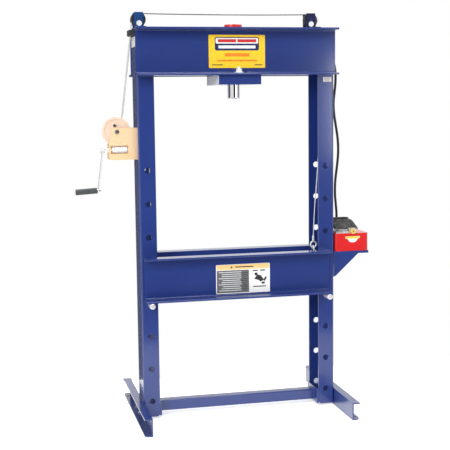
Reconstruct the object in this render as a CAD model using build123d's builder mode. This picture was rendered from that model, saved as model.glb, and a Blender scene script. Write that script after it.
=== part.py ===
from build123d import *
import os
from math import sin, cos, radians, degrees, tan, pi, hypot, atan2

# Hydraulic shop press: H-frame with a winch-raised bed, a spring-return ram and an air-over-oil foot pump.
# Frame: millimetres, +X to the right of someone facing the press, +Y away from them, +Z up.
# Origin: on the floor, at the centre of the frame.

# ---------------------------------------------------------------- driving dimensions
POST_X = 460.0          # outer face of an upright
POST_W = 76.0           # flange width of an upright (along X)
POST_D = 152.0          # depth of an upright (along Y)
POST_T = 6.0            # plate thickness of an upright
POST_Z0 = 9.0
POST_Z1 = 1777.0
HOLE_X = 420.0          # pin holes, from the centre plane
HOLE_D = 27.0
HOLE_Z = 539.0          # the hole that carries the bed pins
HOLE_PITCH = 152.4
HOLES_BELOW = 3
HOLES_ABOVE = 4

HEAD_HALF = 465.0
HEAD_Z0 = 1571.0
HEAD_Z1 = 1783.0
CH_WEB = 6.0            # web of the head and bed channels
CH_TIP = 140.0          # |y| of the channel flange tips
CH_T_TIP = 9.0          # flange thickness at the tip
CH_T_ROOT = 11.0        # flange thickness at the web

BED_CX = -7.0           # side play of the bed taken up to the left
BED_HALF = 440.0
BED_Z0 = 552.0
BED_Z1 = 754.0
BED_GAP = 78.0          # |y| of the bed web's inner face
BED_TRAVEL = 4 * HOLE_PITCH

PIN_D = 25.4
PIN_HALF = 146.0

BLOCK_X = 100.0         # half width of the cylinder mounting block
BLOCK_Y = 124.0
BLOCK_Z0 = 1529.0
CYL_OD = 86.0
CYL_BORE = 66.0
CYL_Z0 = 1533.0
CYL_Z1 = 1790.0
RAM_D = 58.0
RAM_Z0 = 1466.0
STROKE = 159.0

FOOT_H = 80.0
FOOT_W = 36.0
FOOT_T = 6.0
FOOT_Y0 = -340.0
FOOT_Y1 = 370.0

YA = -11.0              # plane of the cable to the right end of the bed
YB = 11.0               # plane of the cable to the left end of the bed
CABLE_D = 5.0
SHEAVE_R = 27.0         # radius to the cable's centre line
SHEAVE_RIM = 33.0
SHEAVE_Z = 1823.0
SHEAVE_LX = -439.0
SHEAVE_RX = 366.0

DRUM_X = -551.0
DRUM_Z = 1325.0
DRUM_R = 19.7           # bare drum
WRAP_R = 22.5           # radius to the cable's centre line on the drum
WHEEL_R = 64.8
WORM_R = 15.5
WORM_Z = 1244.0
WORM_Y = -27.0

TRAY_Z = 742.0
PUMP_X0, PUMP_X1 = 468.0, 632.0
PUMP_Y0, PUMP_Y1 = -74.0, 124.0
PUMP_Z1 = 822.0
TREADLE_Y, TREADLE_Z = 10.0, 852.0

HOSE_D = 12.0

os.makedirs("parts", exist_ok=True)


def save(b, name):
    b.part.label = name
    export_step(b.part, "parts/" + name + ".step")


# ---------------------------------------------------------------- uprights: C sections, open to the inside
def upright(sx, name):
    with BuildPart() as p:
        with BuildSketch(Plane.XY.offset(POST_Z0)):
            with BuildLine():
                Polyline(
                    (sx * (POST_X - POST_W), -POST_D / 2), (sx * POST_X, -POST_D / 2),
                    (sx * POST_X, POST_D / 2), (sx * (POST_X - POST_W), POST_D / 2),
                    (sx * (POST_X - POST_W), POST_D / 2 - POST_T),
                    (sx * (POST_X - POST_T), POST_D / 2 - POST_T),
                    (sx * (POST_X - POST_T), -POST_D / 2 + POST_T),
                    (sx * (POST_X - POST_W), -POST_D / 2 + POST_T),
                    close=True)
            make_face()
        extrude(amount=POST_Z1 - POST_Z0)
        out = p.edges().filter_by(Axis.Z).filter_by(lambda e: abs(abs(e.center().X) - POST_X) < 0.1)
        fillet(out, 7.0)
        inn = p.edges().filter_by(Axis.Z).filter_by(
            lambda e: abs(abs(e.center().X) - (POST_X - POST_T)) < 0.1 and abs(abs(e.center().Y) - (POST_D / 2 - POST_T)) < 0.1)
        fillet(inn, 2.5)
        # rounded lower inner corners of both flanges
        low = p.edges().filter_by(Axis.Y).filter_by(
            lambda e: abs(abs(e.center().X) - (POST_X - POST_W)) < 0.1 and e.center().Z < POST_Z0 + 1)
        fillet(low, 16.0)
        # pin holes through both flanges
        with BuildSketch(Plane.XZ.offset(-POST_D)) as s:
            pts = [(sx * HOLE_X, HOLE_Z + k * HOLE_PITCH) for k in range(-HOLES_BELOW, HOLES_ABOVE + 1)]
            with Locations(*pts):
                Circle(HOLE_D / 2)
        extrude(amount=2 * POST_D, mode=Mode.SUBTRACT)
        if sx > 0:
            # way for the hydraulic hose through the web
            with BuildSketch(Plane.YZ.offset(POST_X - 20)):
                with Locations((48.0, 1690.0)):
                    Circle(17.0)
            extrude(amount=40, mode=Mode.SUBTRACT)
    save(p, name)
    return p


left_upright = upright(-1, "left_upright")
right_upright = upright(1, "right_upright")


# ---------------------------------------------------------------- rolled channels of the head and the bed
def channel(name, x0, x1, z0, z1, y_in, sy, holes=(), web_holes=()):
    yw = y_in + CH_WEB
    with BuildPart() as p:
        with BuildSketch(Plane.YZ.offset(x0)):
            with BuildLine():
                Polyline(
                    (sy * y_in, z0), (sy * CH_TIP, z0), (sy * CH_TIP, z0 + CH_T_TIP),
                    (sy * yw, z0 + CH_T_ROOT), (sy * yw, z1 - CH_T_ROOT),
                    (sy * CH_TIP, z1 - CH_T_TIP), (sy * CH_TIP, z1), (sy * y_in, z1), close=True)
            make_face()
        extrude(amount=x1 - x0)
        root = p.edges().filter_by(Axis.X).filter_by(
            lambda e: abs(abs(e.center().Y) - yw) < 0.1 and z0 + 5 < e.center().Z < z1 - 5)
        fillet(root, 5.0)
        tip = p.edges().filter_by(Axis.X).filter_by(
            lambda e: abs(abs(e.center().Y) - CH_TIP) < 0.1
            and (abs(e.center().Z - (z0 + CH_T_TIP)) < 0.1 or abs(e.center().Z - (z1 - CH_T_TIP)) < 0.1))
        fillet(tip, 4.0)
        if holes:
            with BuildSketch(Plane.XY.offset(z0 - 5)):
                for (hx, hy, hd) in holes:
                    with Locations((hx, hy)):
                        Circle(hd / 2)
            extrude(amount=30, mode=Mode.SUBTRACT)
    save(p, name)
    return p


BOLT_Y = 112.0
front_head_channel = channel("front_head_channel", -HEAD_HALF, HEAD_HALF, HEAD_Z0, HEAD_Z1, POST_D / 2, -1,
                             holes=[(0.0, -BOLT_Y, 17.0)])
rear_head_channel = channel("rear_head_channel", -HEAD_HALF, HEAD_HALF, HEAD_Z0, HEAD_Z1, POST_D / 2, 1,
                            holes=[(0.0, BOLT_Y, 17.0)])
front_bed_channel = channel("front_bed_channel", BED_CX - BED_HALF, BED_CX + BED_HALF, BED_Z0, BED_Z1, BED_GAP, -1)
rear_bed_channel = channel("rear_bed_channel", BED_CX - BED_HALF, BED_CX + BED_HALF, BED_Z0, BED_Z1, BED_GAP, 1)

# ---------------------------------------------------------------- cylinder mounting block under the head
with BuildPart() as cylinder_mount_block:
    with BuildSketch(Plane.XY.offset(BLOCK_Z0)):
        Rectangle(2 * BLOCK_X, 2 * BLOCK_Y)
        Circle(CYL_OD / 2, mode=Mode.SUBTRACT)
    extrude(amount=HEAD_Z0 - BLOCK_Z0)
    chamfer(cylinder_mount_block.edges().filter_by(Axis.Z).group_by(SortBy.LENGTH)[-1].filter_by(
        lambda e: abs(e.center().X) > 90), 3.0)
    # lip that carries the cylinder
    with BuildSketch(Plane.XY.offset(BLOCK_Z0)):
        Circle(CYL_OD / 2)
        Circle(RAM_D / 2 + 5.0, mode=Mode.SUBTRACT)
    extrude(amount=CYL_Z0 - BLOCK_Z0)
    with BuildSketch(Plane.XY.offset(BLOCK_Z0 - 1)):
        with Locations((0, -BOLT_Y), (0, BOLT_Y)):
            Circle(8.0)
    extrude(amount=60, mode=Mode.SUBTRACT)
save(cylinder_mount_block, "cylinder_mount_block")

# studs with nuts and wide washers: they hang the block from the channels' lower flanges
FLANGE_TOP = HEAD_Z0 + CH_T_ROOT
with BuildPart() as mount_block_bolts:
    for sy in (-1, 1):
        with BuildSketch(Plane.XY.offset(BLOCK_Z0 + 4)):
            with Locations((0, sy * BOLT_Y)):
                Circle(8.0)
        extrude(amount=1608.0 - BLOCK_Z0 - 4)
        with BuildSketch(Plane.XY.offset(FLANGE_TOP)):
            with Locations((0, sy * BOLT_Y)):
                Circle(20.0)
        extrude(amount=4)
        with BuildSketch(Plane.XY.offset(FLANGE_TOP + 4)):
            with Locations((0, sy * BOLT_Y)):
                RegularPolygon(13.8, 6)
        extrude(amount=14)
    chamfer(mount_block_bolts.edges().group_by(Axis.Z)[-1], 1.5)
save(mount_block_bolts, "mount_block_bolts")

# ---------------------------------------------------------------- hydraulic cylinder
PORT_Z = 1704.0
with BuildPart() as cylinder_body:
    with BuildSketch(Plane.XY.offset(CYL_Z0)):
        Circle(CYL_OD / 2)
        Circle(CYL_BORE / 2, mode=Mode.SUBTRACT)
    extrude(amount=CYL_Z1 - CYL_Z0)
    # seat of the gland
    with BuildSketch(Plane.XY.offset(CYL_Z0)):
        Circle(CYL_BORE / 2 + 4)
    extrude(amount=30, mode=Mode.SUBTRACT)
    # port boss facing the pump side
    with BuildSketch(Plane.YZ.offset(CYL_BORE / 2 + 3)):
        with Locations((0, PORT_Z)):
            Circle(15.0)
            Circle(6.0, mode=Mode.SUBTRACT)
    extrude(amount=17.0)
    with BuildSketch(Plane.YZ.offset(CYL_BORE / 2 - 8)):
        with Locations((0, PORT_Z)):
            Circle(6.0)
    extrude(amount=30.0, mode=Mode.SUBTRACT)
save(cylinder_body, "cylinder_body")

with BuildPart() as cylinder_cap:
    with BuildSketch(Plane.XY.offset(CYL_Z1)):
        Circle(CYL_OD / 2 - 2)
    extrude(amount=13)
    chamfer(cylinder_cap.edges().group_by(Axis.Z)[-1], 2.0)
    with BuildSketch(Plane.XY.offset(CYL_Z1 - 12)):
        Circle(CYL_BORE / 2)
        Circle(9.0, mode=Mode.SUBTRACT)
    extrude(amount=12)
    with BuildSketch(Plane.XY.offset(CYL_Z1 + 4)):
        with Locations((-15, -18), (30, -8)):
            Circle(7.0)
    extrude(amount=20, mode=Mode.SUBTRACT)
save(cylinder_cap, "cylinder_cap")

with BuildPart() as oil_plugs:
    with BuildSketch(Plane.XY.offset(CYL_Z1 + 4)):
        with Locations((-15, -18), (30, -8)):
            Circle(7.0)
    extrude(amount=12)
    chamfer(oil_plugs.edges().group_by(Axis.Z)[-1], 1.0)
    with BuildSketch(Plane.XY.offset(CYL_Z1 + 10)):
        with Locations((-15, -18), (30, -8)):
            RegularPolygon(3.5, 6)
    extrude(amount=10, mode=Mode.SUBTRACT)
    # filler plug in the reservoir's lid
    with BuildSketch(Plane.XY.offset(PUMP_Z1)):
        with Locations((612, 96)):
            Circle(8.0)
    extrude(amount=4)
    with BuildSketch(Plane.XY.offset(PUMP_Z1 + 4)):
        with Locations((612, 96)):
            RegularPolygon(11.0, 6)
    extrude(amount=9)
save(oil_plugs, "oil_plugs")

with BuildPart() as cylinder_gland:
    with BuildSketch(Plane.XY.offset(CYL_Z0)):
        Circle(CYL_BORE / 2 + 4)
        Circle(RAM_D / 2 + 0.05, mode=Mode.SUBTRACT)
    extrude(amount=30)
save(cylinder_gland, "cylinder_gland")

PISTON_Z0, PISTON_Z1 = 1738.0, 1764.0
with BuildPart() as ram:
    with BuildSketch(Plane.XY.offset(RAM_Z0)):
        Circle(RAM_D / 2)
    extrude(amount=PISTON_Z0 - RAM_Z0)
    chamfer(ram.edges().group_by(Axis.Z)[0], 4.0)
    # bore for the return spring, and the threaded hole in the nose
    with BuildSketch(Plane.XY.offset(1500)):
        Circle(19.0)
    extrude(amount=300, mode=Mode.SUBTRACT)
    with BuildSketch(Plane.XY.offset(RAM_Z0 - 1)):
        Circle(12.0)
    extrude(amount=23, mode=Mode.SUBTRACT)
save(ram, "ram")

with BuildPart() as piston:
    with BuildSketch(Plane.XY.offset(PISTON_Z0)):
        Circle(CYL_BORE / 2 - 0.08)
        Circle(19.0, mode=Mode.SUBTRACT)
    extrude(amount=PISTON_Z1 - PISTON_Z0)
    with BuildSketch(Plane.XY.offset(PISTON_Z0 + 9)):
        Circle(CYL_BORE / 2 + 5)
        Circle(CYL_BORE / 2 - 4, mode=Mode.SUBTRACT)
    extrude(amount=6, mode=Mode.SUBTRACT)
save(piston, "piston")

# return spring: stretched between the cap and the bottom of the ram's bore
SPRING_Z0, SPRING_Z1 = 1500.0, 1778.0
with BuildPart() as return_spring:
    with BuildLine() as sl:
        Helix(pitch=(SPRING_Z1 - SPRING_Z0 - 8) / 16.0, height=SPRING_Z1 - SPRING_Z0 - 8, radius=13.0,
              center=(0, 0, SPRING_Z0 + 4), direction=(0, 0, 1))
    with BuildSketch(Plane(origin=sl.line @ 0, z_dir=sl.line % 0)):
        Circle(2.5)
    sweep(path=sl.line, is_frenet=True)
save(return_spring, "return_spring")

# ---------------------------------------------------------------- bed: spacers, lugs, shackles
EYE = {-1: (-394.0, YB), 1: (380.0, YA)}     # shackle pin axis of each end (x, y of the plate)
LUG_Z = 738.0
with BuildPart() as bed_spacers:
    for sx in (-1, 1):
        with BuildSketch(Plane.XY.offset(600)):
            with Locations((BED_CX + sx * 367.0, 0)):
                Rectangle(18, 2 * BED_GAP)
        extrude(amount=118)
        ex, ey = EYE[sx]
        xi = BED_CX + sx * 358.0
        with BuildSketch(Plane.XZ.offset(-(ey + 5))):
            with BuildLine():
                Polyline((xi, 715.0), (ex + sx * 9, 715.0), (ex + sx * 13, 727.0), (ex + sx * 13, LUG_Z + 6),
                         (ex + sx * 5, LUG_Z + 12), (ex - sx * 7, LUG_Z + 12), (xi, 727.0), close=True)
            make_face()
            with Locations((ex, LUG_Z)):
                Circle(4.6, mode=Mode.SUBTRACT)
        extrude(amount=10)
save(bed_spacers, "bed_spacers")

with BuildPart() as lifting_shackles:
    for sx in (-1, 1):
        ex, ey = EYE[sx]
        with BuildLine() as bl:
            l1 = Line((ex, ey - 10.5, LUG_Z + 3), (ex, ey - 10.5, LUG_Z + 17.0))
            a1 = ThreePointArc((ex, ey - 10.5, LUG_Z + 17.0), (ex, ey, LUG_Z + 27.5), (ex, ey + 10.5, LUG_Z + 17.0))
            l2 = Line((ex, ey + 10.5, LUG_Z + 17.0), (ex, ey + 10.5, LUG_Z + 3))
        with BuildSketch(Plane(origin=(ex, ey - 10.5, LUG_Z + 3), z_dir=(0, 0, 1))):
            Circle(3.6)
        sweep(path=bl.line)
        for s in (-1, 1):
            with BuildSketch(Plane.XZ.offset(-(ey + s * 10.5 + 3.6))):
                with Locations((ex, LUG_Z)):
                    Circle(8.0)
            extrude(amount=7.2)
        with BuildSketch(Plane.XZ.offset(-(ey + 20))):
            with Locations((ex, LUG_Z)):
                Circle(4.1)
        extrude(amount=40, mode=Mode.SUBTRACT)
    for sx in (-1, 1):
        # the shackle's pin
        ex, ey = EYE[sx]
        with BuildSketch(Plane.XZ.offset(-(ey + 19))):
            with Locations((ex, LUG_Z)):
                Circle(4.0)
        extrude(amount=38)
        with BuildSketch(Plane.XZ.offset(-(ey - 14.6))):
            with Locations((ex, LUG_Z)):
                RegularPolygon(7.0, 6)
        extrude(amount=5)
save(lifting_shackles, "lifting_shackles")

# thimble rings and crimped sleeves at the cable ends
RING_Z = LUG_Z + 34.0
SLEEVE_Z1 = 814.0
with BuildPart() as cable_end_fittings:
    for sx in (-1, 1):
        ex, ey = EYE[sx]
        with BuildSketch(Plane(origin=(ex, ey, RING_Z), x_dir=(1, 0, 0), z_dir=(0, 0, 1))):
            with Locations((14.0, 0)):
                Circle(3.5)
        revolve(axis=Axis((ex, ey, RING_Z), (0, 1, 0)))
        with BuildSketch(Plane.XY.offset(RING_Z + 16.0)):
            with Locations((ex, ey)):
                Circle(5.5)
        extrude(amount=SLEEVE_Z1 - 0.1 - RING_Z - 16.0)
save(cable_end_fittings, "cable_end_fittings")


# ---------------------------------------------------------------- bed pins
def bed_pin(sx, name):
    with BuildPart() as p:
        with BuildSketch(Plane.XZ.offset(-PIN_HALF)):
            with Locations((sx * HOLE_X, HOLE_Z)):
                Circle(PIN_D / 2)
        extrude(amount=2 * PIN_HALF)
        chamfer(p.edges().filter_by(GeomType.CIRCLE), 2.0)
        with BuildSketch(Plane.XZ.offset(PIN_HALF - 4)):
            with Locations((sx * HOLE_X, HOLE_Z)):
                Circle(3.0)
        extrude(amount=10, mode=Mode.SUBTRACT)
    save(p, name)
    return p


left_bed_pin = bed_pin(-1, "left_bed_pin")
right_bed_pin = bed_pin(1, "right_bed_pin")

# ---------------------------------------------------------------- feet, open to the outside
ANCHOR_X = 482.0
ANCHOR_Y = (-310.0, 310.0)
FOOT_BOLTS = [(-45.0, 26.0), (45.0, 26.0), (-45.0, 56.0), (45.0, 56.0)]


def foot(sx, name):
    with BuildPart() as p:
        with BuildSketch(Plane.XZ.offset(-FOOT_Y1)):
            with BuildLine():
                Polyline(
                    (sx * POST_X, 0), (sx * (POST_X + FOOT_W), 0), (sx * (POST_X + FOOT_W), FOOT_T),
                    (sx * (POST_X + FOOT_T), FOOT_T), (sx * (POST_X + FOOT_T), FOOT_H - FOOT_T),
                    (sx * (POST_X + FOOT_W), FOOT_H - FOOT_T), (sx * (POST_X + FOOT_W), FOOT_H),
                    (sx * POST_X, FOOT_H), close=True)
            make_face()
        extrude(amount=FOOT_Y1 - FOOT_Y0)
        # rounded outer corners of the lower flange
        low = p.edges().filter_by(Axis.Z).filter_by(
            lambda e: abs(abs(e.center().X) - (POST_X + FOOT_W)) < 0.1 and e.center().Z < FOOT_T)
        fillet(low, 20.0)
        with BuildSketch(Plane.XY.offset(-1)):
            with Locations(*[(sx * ANCHOR_X, y) for y in ANCHOR_Y]):
                Circle(7.0)
        extrude(amount=FOOT_T + 4, mode=Mode.SUBTRACT)
        with BuildSketch(Plane.YZ.offset(sx * (POST_X - 5))):
            with Locations(*FOOT_BOLTS):
                Circle(6.5)
        extrude(amount=sx * 20.0, mode=Mode.SUBTRACT)
    save(p, name)
    return p


left_foot = foot(-1, "left_foot")
right_foot = foot(1, "right_foot")

# the same holes in the uprights' webs are filled by the bolt shanks, so the bolts are studs welded to the web
with BuildPart() as foot_bolts:
    for sx in (-1, 1):
        pl = Plane(origin=(sx * POST_X, 0, 0), x_dir=(0, 1, 0), z_dir=(sx, 0, 0))
        for (by, bz) in FOOT_BOLTS:
            v = bz * (1 if sx > 0 else -1)
            loc = (by, bz) if sx > 0 else (by, -bz)
            with BuildSketch(pl):
                with Locations(loc):
                    Circle(6.0)
            extrude(amount=FOOT_T + 16)
            with BuildSketch(pl.offset(FOOT_T)):
                with Locations(loc):
                    Circle(12.0)
            extrude(amount=2.5)
            with BuildSketch(pl.offset(FOOT_T + 2.5)):
                with Locations(loc):
                    RegularPolygon(10.4, 6)
            extrude(amount=9.0)
save(foot_bolts, "foot_bolts")

# ---------------------------------------------------------------- crossbar with welded end plates
with BuildPart() as crossbar:
    with BuildSketch(Plane.YZ.offset(-(POST_X - POST_W))):
        with Locations((0, 44.0)):
            RectangleRounded(50, 50, 5)
            RectangleRounded(42, 42, 2, mode=Mode.SUBTRACT)
    extrude(amount=2 * (POST_X - POST_W))
    for sx in (-1, 1):
        with BuildSketch(Plane.YZ.offset(sx * (POST_X - POST_W))):
            with Locations((0, 47.0)):
                Rectangle(POST_D - 2, 70)
        extrude(amount=-sx * 8)
save(crossbar, "crossbar")

# ---------------------------------------------------------------- worm-gear winch on the left upright
WF_X1 = -POST_X


with BuildPart() as winch_frame:
    with BuildSketch(Plane.YZ.offset(WF_X1)):
        with Locations((0, (1198 + 1341) / 2)):
            Rectangle(80, 143)
    extrude(amount=-4)
    # side plates; the front one has a slot, open to the outside, over the worm
    for (yp, window) in ((-36, True), (40, False)):
        with BuildSketch(Plane.XZ.offset(-yp)):
            with BuildLine():
                Polyline((WF_X1 - 4, 1198), (WF_X1 - 4, 1341), (-571, 1341), (-586, 1268), (-586, 1200), (-584, 1198), close=True)
            make_face()
            if window:
                with BuildLine():
                    Polyline((-590, 1226), (-502, 1226), (-502, 1262), (-590, 1262), close=True)
                make_face(mode=Mode.SUBTRACT)
            with Locations((DRUM_X, DRUM_Z)):
                Circle(7.0, mode=Mode.SUBTRACT)
        extrude(amount=4)
    # pressed boss
    with BuildSketch(Plane.XZ.offset(40)):
        with Locations((-545, 1284)):
            Circle(13.0)
    extrude(amount=1.5)
    with BuildSketch(Plane.YZ.offset(WF_X1 + 2)):
        with Locations((-22, 1216), (22, 1216), (-22, 1323), (22, 1323)):
            Circle(4.6)
    extrude(amount=-12, mode=Mode.SUBTRACT)
save(winch_frame, "winch_frame")

with BuildPart() as winch_bolts:
    pl = Plane(origin=(WF_X1, 0, 0), x_dir=(0, -1, 0), z_dir=(-1, 0, 0))
    with BuildSketch(pl):
        with Locations((-22, 1216), (22, 1216), (-22, 1323), (22, 1323)):
            Circle(4.5)
    extrude(amount=14)
    with BuildSketch(pl.offset(4)):
        with Locations((-22, 1216), (22, 1216), (-22, 1323), (22, 1323)):
            RegularPolygon(8.0, 6)
    extrude(amount=6.5)
save(winch_bolts, "winch_bolts")

# bearing plates of the worm shaft, joined to both side plates
with BuildPart() as worm_bearings:
    for (xb, w) in ((-582.0, 8.0), (-494.0, 8.0)):
        with BuildSketch(Plane.YZ.offset(xb - w / 2)):
            with Locations((0.0, 1233.0)):
                Rectangle(72, 58)
            with Locations((WORM_Y, WORM_Z)):
                Circle(6.05, mode=Mode.SUBTRACT)
        extrude(amount=w)
    # collar around the shaft at the crank end
    with BuildSketch(Plane.YZ.offset(-592)):
        with Locations((WORM_Y + 0.0, WORM_Z)):
            Circle(12.0)
            Circle(6.05, mode=Mode.SUBTRACT)
    extrude(amount=6)
save(worm_bearings, "worm_bearings")

TEETH = 60
with BuildPart() as worm_wheel:
    with BuildSketch(Plane.XZ.offset(22)):
        with Locations((DRUM_X, DRUM_Z)):
            Circle(WHEEL_R)
            Circle(7.06, mode=Mode.SUBTRACT)
            with PolarLocations(WHEEL_R, TEETH):
                Rectangle(4.4, 3.2, mode=Mode.SUBTRACT)
    extrude(amount=10)
    # dished face with a rim
    with BuildSketch(Plane.XZ.offset(29)):
        with Locations((DRUM_X, DRUM_Z)):
            Circle(55.0)
            Circle(16.0, mode=Mode.SUBTRACT)
    extrude(amount=4, mode=Mode.SUBTRACT)
save(worm_wheel, "worm_wheel")

with BuildPart() as wheel_bolts:
    with BuildSketch(Plane.XZ.offset(29)):
        with Locations((DRUM_X, DRUM_Z)):
            with PolarLocations(29.0, 3, start_angle=105):
                RegularPolygon(8.0, 6)
    extrude(amount=6)
save(wheel_bolts, "wheel_bolts")

with BuildPart() as cable_drum:
    with BuildSketch(Plane.XZ.offset(-30)):
        with Locations((DRUM_X, DRUM_Z)):
            Circle(36.0)
    extrude(amount=4)
    with BuildSketch(Plane.XZ.offset(-26)):
        with Locations((DRUM_X, DRUM_Z)):
            Circle(DRUM_R)
    extrude(amount=44)
    with BuildSketch(Plane.XZ.offset(18)):
        with Locations((DRUM_X, DRUM_Z)):
            Circle(36.0)
    extrude(amount=4)
    with BuildSketch(Plane.XZ.offset(-40)):
        with Locations((DRUM_X, DRUM_Z)):
            Circle(7.06)
    extrude(amount=80, mode=Mode.SUBTRACT)
save(cable_drum, "cable_drum")

# cable turns that lie on the drum, two groups with the two runs leaving them
with BuildPart() as drum_windings:
    for (y, r) in ((-15.9, 2.0), (-5.6, 2.35), (0.0, 2.35), (5.6, 2.35), (16.4, 2.35), (21.8, 2.35)):
        with BuildSketch(Plane(origin=(DRUM_X, y, DRUM_Z), x_dir=(1, 0, 0), z_dir=(0, 0, 1))):
            with Locations((DRUM_R + r + 0.02, 0)):
                Circle(r)
        revolve(axis=Axis((DRUM_X, y, DRUM_Z), (0, 1, 0)))
save(drum_windings, "drum_windings")

with BuildPart() as drum_axle:
    with BuildSketch(Plane.XZ.offset(-47)):
        with Locations((DRUM_X, DRUM_Z)):
            Circle(7.0)
    extrude(amount=94)
    with BuildSketch(Plane.XZ.offset(40)):
        with Locations((DRUM_X, DRUM_Z)):
            RegularPolygon(11.0, 6)
    extrude(amount=6)
    with BuildSketch(Plane.XZ.offset(-47)):
        with Locations((DRUM_X, DRUM_Z)):
            RegularPolygon(11.0, 6)
    extrude(amount=7)
save(drum_axle, "drum_axle")

# worm with its shaft; the thread is shown by its crest and root diameters
with BuildPart() as worm_shaft:
    with BuildSketch(Plane.YZ.offset(-626)):
        with Locations((WORM_Y, WORM_Z)):
            Circle(6.0)
    extrude(amount=140)
    with BuildSketch(Plane.XZ.offset(-WORM_Y)):
        with BuildLine():
            pts = [(-570.0, WORM_Z)]
            x = -570.0
            pts.append((x, WORM_Z + 12.5))
            while x < -506:
                pts += [(x + 1.2, WORM_Z + WORM_R), (x + 4.2, WORM_Z + WORM_R), (x + 5.4, WORM_Z + 12.5), (x + 6.5, WORM_Z + 12.5)]
                x += 6.5
            pts.append((x, WORM_Z))
            Polyline(*pts, close=True)
        make_face()
    revolve(axis=Axis((0, WORM_Y, WORM_Z), (1, 0, 0)))
save(worm_shaft, "worm_shaft")

# crank: hub on the shaft's end, arm leaning outwards, grip on its own spindle
ARM0 = (-614.0, WORM_Y, WORM_Z)
ARM1 = (-638.5, WORM_Y, 1062.0)
AL = hypot(ARM1[0] - ARM0[0], ARM1[2] - ARM0[2])
ADIR = ((ARM1[0] - ARM0[0]) / AL, 0, (ARM1[2] - ARM0[2]) / AL)
GT = radians(3.3)
GDIR = (-cos(GT), 0, -sin(GT))
with BuildPart() as crank_arm:
    with BuildSketch(Plane.YZ.offset(-624)):
        with Locations((WORM_Y, WORM_Z)):
            Circle(13.0)
    extrude(amount=18)
    with BuildSketch(Plane(origin=ARM0, x_dir=(0, 1, 0), z_dir=ADIR)):
        RectangleRounded(24, 6, 1.5)
    extrude(amount=AL + 11)
    with BuildSketch(Plane.YZ.offset(-640)):
        with Locations((WORM_Y, WORM_Z)):
            Circle(6.0)
    extrude(amount=60, mode=Mode.SUBTRACT)
    with BuildSketch(Plane(origin=(ARM1[0] - 30 * GDIR[0], ARM1[1], ARM1[2] - 30 * GDIR[2]), z_dir=GDIR)):
        Circle(5.0)
    extrude(amount=60, mode=Mode.SUBTRACT)
save(crank_arm, "crank_arm")

def along(d):
    return (ARM1[0] + d * GDIR[0], ARM1[1], ARM1[2] + d * GDIR[2])


with BuildPart() as crank_spindle:
    with BuildSketch(Plane(origin=along(-9), z_dir=GDIR)):
        Circle(5.0)
    extrude(amount=9 + 103)
    with BuildSketch(Plane(origin=along(-11.5), z_dir=GDIR)):
        Circle(8.5)
    extrude(amount=6)
    with BuildSketch(Plane(origin=along(103), z_dir=GDIR)):
        Circle(7.5)
    extrude(amount=2.5)
save(crank_spindle, "crank_spindle")

with BuildPart() as crank_grip:
    with BuildSketch(Plane(origin=along(6.0), z_dir=GDIR)):
        Circle(14.0)
        Circle(5.08, mode=Mode.SUBTRACT)
    extrude(amount=96.5)
    fillet(crank_grip.edges().filter_by(GeomType.CIRCLE).filter_by(lambda e: e.radius > 10), 2.5)
save(crank_grip, "crank_grip")

# ---------------------------------------------------------------- pulley brackets, sheaves and axles
with BuildPart() as pulley_brackets:
    for (cx, w) in ((SHEAVE_LX, 42.0), (SHEAVE_RX, 44.0)):
        with BuildSketch(Plane.XY.offset(HEAD_Z1)):
            with Locations((cx - (0 if cx < 0 else 1), 0)):
                Rectangle(w, 216)
        extrude(amount=5)
        for yc in (-25.0, 25.0):
            with BuildSketch(Plane.XZ.offset(-(yc + 2.5))):
                with BuildLine():
                    xl, xr = cx - (0 if cx < 0 else 1) - w / 2, cx - (0 if cx < 0 else 1) + w / 2
                    Polyline((xl, HEAD_Z1 + 5), (xr, HEAD_Z1 + 5), (xr, 1852.5), (xr - 3, 1855.5), (xl + 3, 1855.5), (xl, 1852.5), close=True)
                make_face()
                with Locations((cx, SHEAVE_Z)):
                    Circle(6.0, mode=Mode.SUBTRACT)
            extrude(amount=5)
save(pulley_brackets, "pulley_brackets")


def sheave(name, cx, grooves, y0, y1):
    with BuildPart() as p:
        with BuildSketch(Plane(origin=(cx, 0, SHEAVE_Z), x_dir=(1, 0, 0), z_dir=(0, 0, 1))):
            with BuildLine():
                pts = [(6.1, y0), (SHEAVE_RIM, y0)]
                for g in grooves:
                    pts += [(SHEAVE_RIM, g - 4.6), (SHEAVE_R - 2.2, g - 2.4), (SHEAVE_R - 2.8, g - 1.2), (SHEAVE_R - 2.8, g + 1.2),
                            (SHEAVE_R - 2.2, g + 2.4), (SHEAVE_RIM, g + 4.6)]
                pts += [(SHEAVE_RIM, y1), (6.1, y1)]
                Polyline(*pts, close=True)
            make_face()
        revolve(axis=Axis((cx, 0, SHEAVE_Z), (0, 1, 0)))
    save(p, name)
    return p


left_sheave = sheave("left_sheave", SHEAVE_LX, (YA, YB), -21.0, 21.0)
right_sheave = sheave("right_sheave", SHEAVE_RX, (YA,), -21.0, -1.0)

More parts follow.
